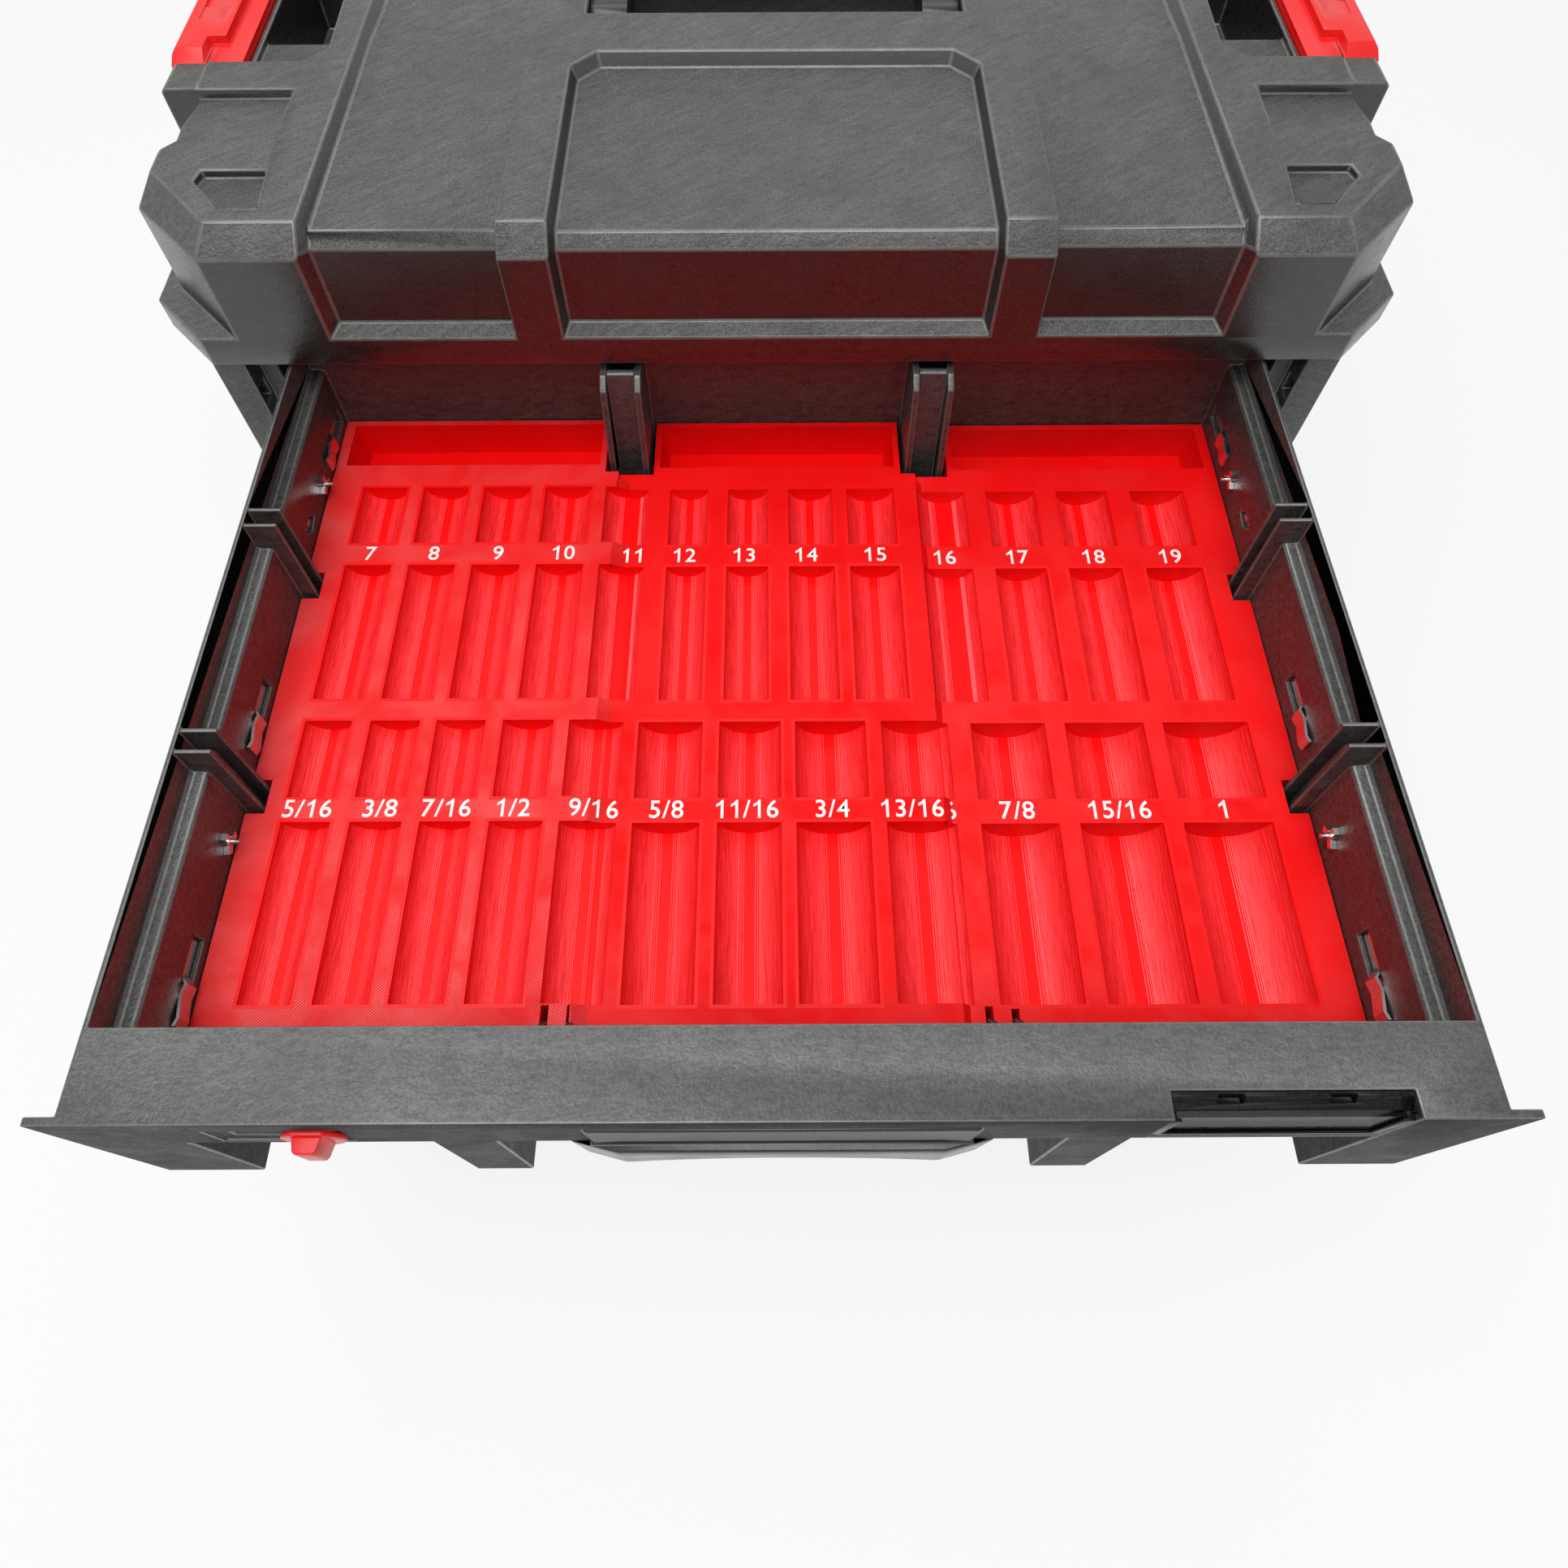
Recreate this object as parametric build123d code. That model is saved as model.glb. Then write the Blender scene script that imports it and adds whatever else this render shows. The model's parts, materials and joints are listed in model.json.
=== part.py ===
"""Stackable two-drawer tool box with a socket organizer in its open upper drawer.

Millimetres, +Z up. The front faces -Y and the origin is on the ground below the middle of the
housing. Drawers are modelled shut, and the upper one is then drawn out by DRAWER_TRAVEL, which is
how the box stands at rest. Names that end in _Z are heights above the ground, and sizes that start
with RIM are measured down from a drawer's rim.
"""

import os
from math import atan, cos, degrees, radians, sin, sqrt

from build123d import *

# ---------------------------------------------------------------- driving dimensions
SLIDE_LENGTH = 331.0  # one slide, pushed together
SLIDE_FRONT_OFFSET = 33.0  # from the fascia's front face to the slide
SLIDE_OVERTRAVEL = 16.0  # a drawer runs out this much more than its slide's length
REAR_ROOM = 33.0  # from the back wall of a shut drawer to the back of the cap
FASCIA_INSET = 3.0  # fascia behind the cap's front
TUB_HALF_WIDTH = 243.0  # from the middle of a drawer to the outside of its upper walls
SIDE_ROOM = 37.0  # from there to the outside of the housing
WALL = 3.0  # moulded walls of the housing
FEET_HEIGHT = 3.0
BASE_TOP_Z = 18.0
DRAWER_PITCH = 117.0  # rim to rim
FASCIA_HEIGHT = 113.0
FASCIA_FLOOR_GAP = 2.0  # lower fascia above the base
CAP_GAP = 2.4  # upper drawer's rim to the cap
CAP_FRONT_HEIGHT = 77.6
CAP_RISE = 7.0  # the side rails climb this much from the front to the middle

DRAWER_LENGTH = SLIDE_FRONT_OFFSET + SLIDE_LENGTH
DRAWER_TRAVEL = SLIDE_LENGTH + SLIDE_OVERTRAVEL
BODY_DEPTH = FASCIA_INSET + DRAWER_LENGTH + REAR_ROOM  # front face of the cap to its back
BODY_WIDTH = 2 * (TUB_HALF_WIDTH + SIDE_ROOM)  # over the side panels
HALF_BODY = BODY_WIDTH / 2
HALF_DEPTH = BODY_DEPTH / 2

# Cap
BLOCK_OUT = 16.0  # corner blocks stand out from the side panels
BUMPER_OUT = 26.0  # lower bumpers and latch brackets
BUMPER_HEIGHT = 17.6
BLOCK_CHAMFER = 36.0
BLOCK_SHOULDER = 16.0
BUMPER_CHAMFER = 28.0
TOP_BEVEL = 12.0
FIELD_DEPTH = 8.0  # recessed front fields
FIELD_DROP = 7.0  # the same fields at the front of the top
FIELD_LEDGE = 19.5  # outer lower edge of a front field above the rim plane
BADGE_DROP = 8.0
FIELD_BEVEL = 6.0  # between the front and the top of each lowered field
BADGE_BACK_Y = 139.0 - HALF_DEPTH
BADGE_CORNER = 11.0
BADGE_HALF_WIDTH = 100.0
BADGE_LEAN = 0.32  # how far the walls of the badge recess lean out, per millimetre
RIB_INNER_X = 102.5
RIB_OUTER_X = 125.7
FIELD_OUTER_X = HALF_BODY - 69.0
FIELD_WAIST = 9.5  # the fields are this much narrower halfway along the cap
FIELD_LEAN = 0.5
RAIL_FLAT_Y = 25.0
WELL_INNER_X = HALF_BODY - 56.6
WELL_CORNER = 10.5
WELL_DEPTH = 48.0
SHELF_HALF_LENGTH = 43.0  # the well is deep between the two shelves
SHELF_DROP = 5.0
LATCH_INNER_X = HALF_BODY - 14.5
LATCH_OUTER_X = HALF_BODY + 20.5
LATCH_GAP = 0.5
LATCH_HALF_LENGTH = 73.5
LATCH_WALL_DROP = 2.0
BRACKET_LENGTH = 21.8
RAMP_DEPTH = 5.7
RAMP_LENGTH = 28.7
RAMP_INNER_X = HALF_BODY - 46.5
HANDLE_HALF_WIDTH = 98.6
HANDLE_FRONT_Y = -24.0
HANDLE_BACK_Y = 76.0
HANDLE_POCKET_DEPTH = 46.0

# Carry handle
HANDLE_PIVOT_Y = -7.5
HANDLE_PIVOT_DROP = 15.0
HANDLE_ARM = 64.0
HANDLE_HUB_RADIUS = 11.0
HANDLE_ARM_WIDTH = 19.5
HANDLE_PIN_RADIUS = 4.0
GRIP_HEIGHT = 19.0
GRIP_THICKNESS = 24.0

# Latches
LATCH_PIN_RADIUS = 2.5
LATCH_BARREL_RADIUS = 5.5
LATCH_PIVOT_X = LATCH_OUTER_X - 7.0
LATCH_PIVOT_RISE = 19.0  # pin above the cap's lower edge
LATCH_THICKNESS = 4.0
LATCH_STRIP = 2.0  # the latch's inner strip above the cap's flat top
LATCH_RIDGE = 6.5
LATCH_PAD_HALF = 54.0

# Drawers
WING_HALF_WIDTH = TUB_HALF_WIDTH + 10.5
TOP_PLATE_DEPTH = 31.5
TOP_PLATE_THICKNESS = 2.5
TUB_WALL = 2.5
RIM_WALL = 2.0
TUB_INNER_X = TUB_HALF_WIDTH - 9.0
RIM_TO_LEDGE = 18.0
RIM_TO_FLOOR = 90.0
TUB_FLOOR = 3.0
FASCIA_WALL = 3.0
BAND_HEIGHT = 38.0
FASCIA_RECESS = 22.0
CORNER_LEG_X = TUB_HALF_WIDTH - 29.5

# Places along a drawer are measured from the fascia's front face of a drawer LAYOUT_LENGTH long,
# and places across it from the middle of one whose inside is LAYOUT_HALF_WIDTH to each side.
LAYOUT_LENGTH = 364.0
LAYOUT_HALF_WIDTH = 234.0

# Divider plates on the side walls and posts on the rear wall
PLATE_OFFSETS = (136.7, 146.0, 248.5, 257.2)
PLATE_THICKNESS = 1.8
PLATE_INNER_X = TUB_INNER_X - 7.7
POST_INNER_X = 67.8
POST_OUTER_X = 88.2
POST_WALL = 3.2
POST_REACH = 34.5
POST_LEAN = 8.0
POST_WEB_BACK = 8.0
GUSSET_XS = (83.5, 94.0)
GUSSET_REACH = 20.0
GUSSET_THICKNESS = 2.4

# Slides
SLIDE_THICKNESS = 12.7
SLIDE_HEIGHT = 45.0
SLIDE_GAUGE = 1.2
SLIDE_CLEARANCE = 0.4
RIM_TO_SLIDE = 47.5
TAB_OFFSETS = (52.0, 169.0, 331.4)
TAB_LENGTH = 21.0
TAB_WIDTH = 9.0
TAB_STAND_OFF = 2.2
TAB_SLOT_EXTRA = 14.0
RIVET_OFFSETS = (117.0, 309.0)
RIVET_RADIUS = 2.4
DIAMOND_OFFSET = 285.0
DIAMOND_SIZE = 9.0

# Lock, grip and label
LOCK_TRAVEL = 24.0
LOCK_PLATE_WIDTH = 21.8
LOCK_PLATE_HEIGHT = 20.0
LOCK_RIGHT_X = -152.5
LOCK_PLATE_THICKNESS = 2.0
LOCK_KNOB_REACH = 7.5
RIM_TO_LOCK = 24.0
BOLT_THICKNESS = 3.0
BOLT_HEIGHT = 8.0
BOLT_CLEARANCE = 0.5
GRIP_HALF_WIDTH = 76.5
GRIP_RIM_DROP = 14.0
GRIP_LOW_DROP = 62.0
LABEL_RIGHT_X = CORNER_LEG_X - 0.5
LABEL_LEFT_X = LABEL_RIGHT_X - 82.5
LABEL_DEPTH = 9.3
LABEL_HEIGHT = 36.0

# Organizer
INSERT_WALL_GAP = 0.5
INSERT_FRONT_OFFSET = 33.0
INSERT_LENGTH = DRAWER_LENGTH - 37.0
INSERT_HEIGHTS = {"left": 33.0, "middle": 30.0, "right": 27.0}
LEFT_SEAM_X = -80.0
RIGHT_SEAM_X = 74.5
LAP_WIDTH = 6.5
POCKET_DEPTH_RATIO = 0.44
BIN_DEPTH = 22.0
BIN_SLOPE = 9.0
BIN_WALL = 3.0
BIN_FRONT_OFFSET = 330.5
NOTCH_GAP = 2.4

# Each socket: size, distance of its trough from the middle, width of the trough at the top.
METRIC_SOCKETS = (
    ("7", -204.5, 23.0), ("8", -172.7, 23.2), ("9", -140.9, 24.0), ("10", -108.9, 23.6),
    ("11", -78.4, 22.0), ("12", -46.0, 20.0), ("13", -15.3, 21.0), ("14", 17.1, 23.0),
    ("15", 48.6, 25.0), ("16", 86.0, 25.0), ("17", 122.5, 26.0), ("18", 160.1, 27.0),
    ("19", 199.7, 28.5),
)
INCH_SOCKETS = (
    ("5/16", -206.2, 21.5), ("3/8", -175.7, 22.7), ("7/16", -145.5, 22.6), ("1/2", -114.8, 23.3),
    ("9/16", -83.8, 24.5), ("5/8", -49.8, 29.5), ("11/16", -13.3, 28.2), ("3/4", 23.5, 32.5),
    ("13/16", 62.4, 31.2), ("7/8", 105.6, 34.5), ("15/16", 150.3, 36.7), ("1", 197.0, 39.5),
)
# Rows of troughs, from the fascia's front face: (sockets, near end, far end)
TROUGH_ROWS = (
    (INCH_SOCKETS, 52.4, 129.4),
    (INCH_SOCKETS, 140.9, 178.4),
    (METRIC_SOCKETS, 189.6, 264.9),
    (METRIC_SOCKETS, 278.4, 313.9),
)

# ---------------------------------------------------------------- derived sizes
FRONT_Y = -HALF_DEPTH
FASCIA_Y = FRONT_Y + FASCIA_INSET
LOWER_RIM_Z = BASE_TOP_Z + FASCIA_FLOOR_GAP + FASCIA_HEIGHT
UPPER_RIM_Z = LOWER_RIM_Z + DRAWER_PITCH
CAP_Z = UPPER_RIM_Z + CAP_GAP
CAP_TOP_Z = CAP_Z + CAP_FRONT_HEIGHT
BLOCK_X = HALF_BODY + BLOCK_OUT
BUMPER_X = HALF_BODY + BUMPER_OUT
SLIDE_INNER_X = TUB_INNER_X + TUB_WALL
SLIDE_OUTER_X = SLIDE_INNER_X + SLIDE_THICKNESS
LATCH_PIVOT_Z = CAP_Z + LATCH_PIVOT_RISE
HANDLE_PIVOT_Z = CAP_TOP_Z - HANDLE_PIVOT_DROP
POCKET_FLOOR_Z = CAP_TOP_Z - HANDLE_POCKET_DEPTH
WELL_FLOOR_Z = CAP_TOP_Z - WELL_DEPTH
FAR = 500.0  # past every face, for cutting tools
PIN_SEAT = 8.0
SCREW_RADIUS = 2.0
RUNNING_FIT = 0.05
JAMB_DEPTH = 22.0
JAMB_WIDTH = 16.0
SIDE_FIELD = 3.0
SIDE_PLATE = 6.0
RAIL_HALF_HEIGHT = 24.0
BOLT_Y = FASCIA_Y + FASCIA_WALL + BOLT_CLEARANCE
BOLT_REACH_X = TUB_HALF_WIDTH + 6.0
FOOT_RADIUS = 14.0
FOOT_STEM_RADIUS = 4.0
LOCK_STEM = 8.0


# ---------------------------------------------------------------- helpers
def block(x0, x1, y0, y1, z0, z1):
    return Pos((x0 + x1) / 2, (y0 + y1) / 2, (z0 + z1) / 2) * Box(x1 - x0, y1 - y0, z1 - z0)


def prism_x(points, x0, x1):
    """Outline of (y, z) points, extruded from x0 to x1."""
    plane = Plane(origin=(x0, 0, 0), x_dir=(0, 1, 0), z_dir=(1, 0, 0))
    return extrude(plane * make_face(Polyline(*points, close=True)), amount=x1 - x0)


def prism_y(points, y0, y1):
    """Outline of (x, z) points, extruded from y0 to y1."""
    plane = Plane(origin=(0, y1, 0), x_dir=(1, 0, 0), z_dir=(0, -1, 0))
    return extrude(plane * make_face(Polyline(*points, close=True)), amount=y1 - y0)


def prism_z(points, z0, z1):
    """Outline of (x, y) points, extruded from z0 to z1."""
    return extrude(Plane.XY.offset(z0) * make_face(Polyline(*points, close=True)), amount=z1 - z0)


def rod_x(radius, x0, x1, y, z):
    return Pos((x0 + x1) / 2, y, z) * Rot(0, 90, 0) * Cylinder(radius, x1 - x0)


def rod_y(radius, y0, y1, x, z):
    return Pos(x, (y0 + y1) / 2, z) * Rot(90, 0, 0) * Cylinder(radius, y1 - y0)


def flip_x(shape):
    return mirror(shape, about=Plane.YZ)


def flip_y(shape):
    return mirror(shape, about=Plane.XZ)


def both_sides(shape):
    return shape + flip_x(shape)


def four_corners(shape):
    pair = both_sides(shape)
    return pair + flip_y(pair)


def both_ends(shape):
    return shape + flip_y(shape)


def along(offset):
    """Y of a place on the shut drawer, from its distance behind the fascia's front face."""
    return FASCIA_Y + offset * DRAWER_LENGTH / LAYOUT_LENGTH


def across(x):
    return x * TUB_INNER_X / LAYOUT_HALF_WIDTH


def rail_z(y):
    """Height of the climbing side rails of the cap."""
    climb = (HALF_DEPTH - TOP_BEVEL - abs(y)) / (HALF_DEPTH - TOP_BEVEL - RAIL_FLAT_Y)
    return CAP_TOP_Z + CAP_RISE * min(climb, 1.0)


def cornered_plan(out_x, chamfer, shoulder, side_x):
    """Plan outline of a moulding whose corner blocks stand out from its sides."""
    quarter = [
        (out_x - chamfer, FRONT_Y),
        (out_x, FRONT_Y + chamfer),
        (out_x, FRONT_Y + chamfer + shoulder),
        (side_x, FRONT_Y + chamfer + shoulder + (out_x - side_x)),
    ]
    right = quarter + [(x, -y) for x, y in reversed(quarter)]
    return right + [(-x, y) for x, y in reversed(right)]


# ---------------------------------------------------------------- top cap
def cap_side_profile():
    """(y, z) outline seen from the side: bevelled ends and a gentle rise to the middle."""
    front = [
        (FRONT_Y, CAP_Z),
        (FRONT_Y, CAP_TOP_Z - TOP_BEVEL),
        (FRONT_Y + TOP_BEVEL, CAP_TOP_Z),
        (-RAIL_FLAT_Y, CAP_TOP_Z + CAP_RISE),
    ]
    return front + [(-y, z) for y, z in reversed(front)]


def cap_outer():
    plan = prism_z(
        cornered_plan(BLOCK_X, BLOCK_CHAMFER, BLOCK_SHOULDER, HALF_BODY + 1), CAP_Z, CAP_TOP_Z + CAP_RISE
    )
    side_bevel = prism_y(
        [
            (-BLOCK_X, CAP_Z),
            (BLOCK_X, CAP_Z),
            (BLOCK_X, CAP_TOP_Z - TOP_BEVEL),
            (BLOCK_X - TOP_BEVEL, CAP_TOP_Z + CAP_RISE),
            (-BLOCK_X + TOP_BEVEL, CAP_TOP_Z + CAP_RISE),
            (-BLOCK_X, CAP_TOP_Z - TOP_BEVEL),
        ],
        FRONT_Y,
        -FRONT_Y,
    )
    upper = plan & prism_x(cap_side_profile(), -FAR, FAR) & side_bevel
    upper -= four_corners(corner_bevel())
    bumper = prism_z(
        cornered_plan(BUMPER_X, BUMPER_CHAMFER, 2 * TOP_BEVEL, HALF_BODY + 1),
        CAP_Z,
        CAP_Z + BUMPER_HEIGHT,
    )
    return upper + bumper + four_corners(latch_bracket())


def corner_bevel():
    """Slanted cutting block that bevels the top of a 45 degree corner."""
    edge = (BLOCK_X - BLOCK_CHAMFER / 2, FRONT_Y + BLOCK_CHAMFER / 2, CAP_TOP_Z - TOP_BEVEL)
    outward = Vector(1, -1, 0).normalized()
    plane = Plane(origin=edge, x_dir=(1, 1, 0), z_dir=outward + Vector(0, 0, 1))
    reach = BLOCK_CHAMFER * 3
    return plane * Pos(0, 0, reach / 4) * Box(reach, reach, reach / 2)


def latch_bracket():
    """The ear that holds one end of a latch pin."""
    front_y = -LATCH_HALF_LENGTH - BRACKET_LENGTH
    out_x = LATCH_OUTER_X - 1.5
    top = rail_z(front_y)
    outline = [
        (HALF_BODY - WALL, CAP_Z),
        (out_x - LATCH_BARREL_RADIUS, CAP_Z),
        (out_x, LATCH_PIVOT_Z - LATCH_BARREL_RADIUS),
        (out_x, top - 2),
        (out_x - 2, top),
        (HALF_BODY - WALL, top),
    ]
    return prism_y(outline, front_y, -LATCH_HALF_LENGTH)


def above_field(floor_z, back_y, back_z):
    """Everything outside a lowered field: its ledge, front, bevel, top and the flat behind it."""
    ledge_z = UPPER_RIM_Z + FIELD_LEDGE
    floor_y = FRONT_Y + FIELD_DEPTH
    outline = [
        (FRONT_Y - 1, ledge_z - 0.5),
        (FRONT_Y, ledge_z),
        (floor_y, ledge_z + FIELD_DEPTH / 2),
        (floor_y, floor_z - FIELD_BEVEL),
        (floor_y + FIELD_BEVEL, floor_z),
        (back_y, back_z),
        (FAR, back_z),
        (FAR, FAR),
        (FRONT_Y - 1, FAR),
    ]
    return prism_x(outline, -FAR, FAR)


def leaning_pit(points, z0, lean):
    """Pit with its plan at z0, whose walls lean out by lean for each millimetre of height."""
    plan = Plane.XY.offset(z0) * make_face(Polyline(*points, close=True))
    return extrude(plan, amount=CAP_TOP_Z + CAP_RISE + 2 - z0, taper=-degrees(atan(lean)))


def leaning_front(x_floor, floor_z, lean):
    """Wedges that carry the leaning wall at x_floor down the bevel and the front of a field."""
    reach, inside = 14.0, 12.0
    floor_y = FRONT_Y + FIELD_DEPTH
    section = [
        (x_floor - inside, 0),
        (x_floor, 0),
        (x_floor + lean * reach, reach),
        (x_floor - inside, reach),
    ]
    front = prism_z([(x, floor_y - d) for x, d in section], CAP_Z, floor_z)
    middle = (0, floor_y + FIELD_BEVEL / 2, floor_z - FIELD_BEVEL / 2)
    plane = Plane(origin=middle, x_dir=(1, 0, 0), z_dir=(0, -1, -1))
    bevel = extrude(plane * make_face(Polyline(*section, close=True)), amount=reach, both=True)
    return front + bevel


def cap_side_fields():
    """The flat between the climbing rails and its two lowered fields at the front."""
    floor_z = CAP_TOP_Z - FIELD_DROP
    waist = FIELD_OUTER_X - FIELD_WAIST
    end = HALF_DEPTH + TOP_BEVEL
    plan = [(-1, -end), (FIELD_OUTER_X + 1, -end), (waist, -RAIL_FLAT_Y), (waist, RAIL_FLAT_Y)]
    plan += [(FIELD_OUTER_X + 1, end), (-1, end)]
    pit = leaning_pit(plan, floor_z, FIELD_LEAN) + leaning_front(FIELD_OUTER_X, floor_z, FIELD_LEAN)
    pit += block(RIB_OUTER_X, FIELD_OUTER_X - 8, -end, FIELD_DEPTH - HALF_DEPTH + FIELD_BEVEL, CAP_Z, FAR)
    field = pit & above_field(floor_z, -50.0, CAP_TOP_Z)
    kept = block(-FAR, RIB_OUTER_X, -FAR, FAR, CAP_Z - 1, CAP_TOP_Z)
    return both_sides(field - kept)


def cap_centre_field():
    """The badge recess, which runs over the front edge and down the front face."""
    floor_z = CAP_TOP_Z - BADGE_DROP
    half = BADGE_HALF_WIDTH
    back = BADGE_BACK_Y
    end = HALF_DEPTH + TOP_BEVEL
    right = [(half, -end), (half, back - BADGE_CORNER), (half - BADGE_CORNER, back)]
    pit = leaning_pit(right + [(-x, y) for x, y in reversed(right)], floor_z, BADGE_LEAN)
    pit += both_sides(leaning_front(half, floor_z, BADGE_LEAN))
    pit += block(2 - half, half - 2, -end, FIELD_DEPTH - HALF_DEPTH + FIELD_BEVEL, CAP_Z, FAR)
    return pit & above_field(floor_z, back, floor_z)


def cap_wells():
    """Wells inboard of the latches with a shelf at each end, latch pockets and ramps."""
    top = CAP_TOP_Z + CAP_RISE + 1
    length = LATCH_HALF_LENGTH
    well_outer = LATCH_INNER_X - LATCH_GAP - WALL
    rim = [
        (well_outer, -length),
        (WELL_INNER_X + WELL_CORNER, -length),
        (WELL_INNER_X, -length + WELL_CORNER),
    ]
    rim += [(x, -y) for x, y in reversed(rim)]
    well = prism_z(rim, CAP_TOP_Z - SHELF_DROP, top)
    well += block(WELL_INNER_X, well_outer, -SHELF_HALF_LENGTH, SHELF_HALF_LENGTH, WELL_FLOOR_Z, top)
    wall_top = block(well_outer - 1, LATCH_INNER_X, -length, length, CAP_TOP_Z - LATCH_WALL_DROP, top)
    pocket = block(LATCH_INNER_X - LATCH_GAP, FAR, -length, length, CAP_Z + WALL * 2, top)
    pocket_low = block(HALF_BODY + 1, FAR, -length, length, CAP_Z - 1, top)
    edge_y = -length - BRACKET_LENGTH
    ramp_side = block(HALF_BODY + 1, FAR, edge_y - RAMP_LENGTH, edge_y, CAP_Z + BUMPER_HEIGHT, FAR)
    return both_sides(well + wall_top + pocket + pocket_low) + four_corners(ramp() + ramp_side + tick_recess())


def ramp():
    """Low field in front of a latch bracket, which runs out on the rail ahead of it."""
    edge_y = -LATCH_HALF_LENGTH - BRACKET_LENGTH
    front_y = edge_y - RAMP_LENGTH
    low = rail_z(edge_y) - RAMP_DEPTH
    slope = prism_x([(edge_y, low), (edge_y + 1.5, FAR), (front_y, FAR), (front_y, rail_z(front_y))], 0, HALF_BODY + 2)
    foot_x = RAMP_INNER_X + 3.5
    side = [(foot_x, low - 1), (FAR, low - 1), (FAR, FAR), (RAMP_INNER_X - 1, FAR), (RAMP_INNER_X - 1, low + RAMP_DEPTH + 1)]
    return slope & prism_y(side, front_y - 1, edge_y + 2)


def tick_recess():
    """Small five-sided recess in a corner block, deepest at its rear edge."""
    back_y, bend_y, front_y = (FRONT_Y + d for d in (46.0, 38.7, 20.0))
    outline = [(45.7, back_y), (16.0, back_y), (14.3, bend_y), (30.4, front_y), (47.0, front_y)]
    plan = prism_z([(HALF_BODY - x, y) for x, y in outline], CAP_TOP_Z - 10, FAR)
    floor = [(back_y, rail_z(back_y) - 4.5), (back_y, FAR), (front_y, FAR), (front_y, rail_z(front_y) - 0.8)]
    return plan & prism_x(floor, 0, HALF_BODY)


def cap_cavity():
    """The hollow under the cap, with walls left round the wells and the handle pocket."""
    roof_z = CAP_TOP_Z - BADGE_DROP - WALL - 1
    half_x = HALF_BODY + 1 - WALL
    half_y = HALF_DEPTH - FIELD_DEPTH - WALL - 2
    corner = 30.0
    plan = [(half_x - corner, -half_y), (half_x, -half_y + corner)]
    plan += [(x, -y) for x, y in reversed(plan)]
    plan += [(-x, y) for x, y in reversed(plan)]
    hollow = prism_z(plan, CAP_Z - 1, roof_z)
    length = LATCH_HALF_LENGTH + WALL
    reach = SHELF_HALF_LENGTH + WALL
    well = block(WELL_INNER_X - WALL, FAR, -reach, reach, WELL_FLOOR_Z - WALL, FAR)
    latch_wall = block(LATCH_INNER_X - LATCH_GAP - WALL, FAR, -length, length, CAP_Z - 2, FAR)
    handle = block(
        -HANDLE_HALF_WIDTH - WALL,
        HANDLE_HALF_WIDTH + WALL,
        HANDLE_FRONT_Y - WALL,
        HANDLE_BACK_Y + WALL,
        POCKET_FLOOR_Z - WALL,
        FAR,
    )
    tick_room = four_corners(
        block(HALF_BODY - 50, HALF_BODY - 8, FRONT_Y + 10, FRONT_Y + 55, CAP_TOP_Z - 8, FAR)
    )
    return hollow - both_sides(well + latch_wall) - handle - tick_room


def cap_screw_places():
    """Where the cap is screwed down to the side panels."""
    x = (SLIDE_OUTER_X + HALF_BODY) / 2 + 3
    return [(sx * x, sy * (HALF_DEPTH - 50.0)) for sx in (-1, 1) for sy in (-1, 1)]


def make_top_cap():
    cap = cap_outer()
    cap -= cap_side_fields()
    cap -= cap_centre_field()
    cap -= cap_wells()
    cap -= block(
        -HANDLE_HALF_WIDTH, HANDLE_HALF_WIDTH, HANDLE_FRONT_Y, HANDLE_BACK_Y, POCKET_FLOOR_Z, CAP_TOP_Z + CAP_RISE + 1
    )
    cap -= cap_cavity()
    for x, y in cap_screw_places():
        cap += Pos(x, y, CAP_Z + 10) * Cylinder(6, 20)
        tie = block(abs(x), HALF_BODY - WALL / 2, y - 6, y + 6, CAP_Z, CAP_Z + 20)
        cap += tie if x > 0 else flip_x(tie)
        cap -= Pos(x, y, CAP_Z + 8) * Cylinder(SCREW_RADIUS, 16)
    pin_reach = LATCH_HALF_LENGTH + PIN_SEAT
    cap -= both_sides(rod_y(LATCH_PIN_RADIUS, -pin_reach, pin_reach, LATCH_PIVOT_X, LATCH_PIVOT_Z))
    cap -= both_sides(
        rod_x(HANDLE_PIN_RADIUS, HANDLE_HALF_WIDTH - 1, HANDLE_HALF_WIDTH + WALL, HANDLE_PIVOT_Y, HANDLE_PIVOT_Z)
    )
    return cap


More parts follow.
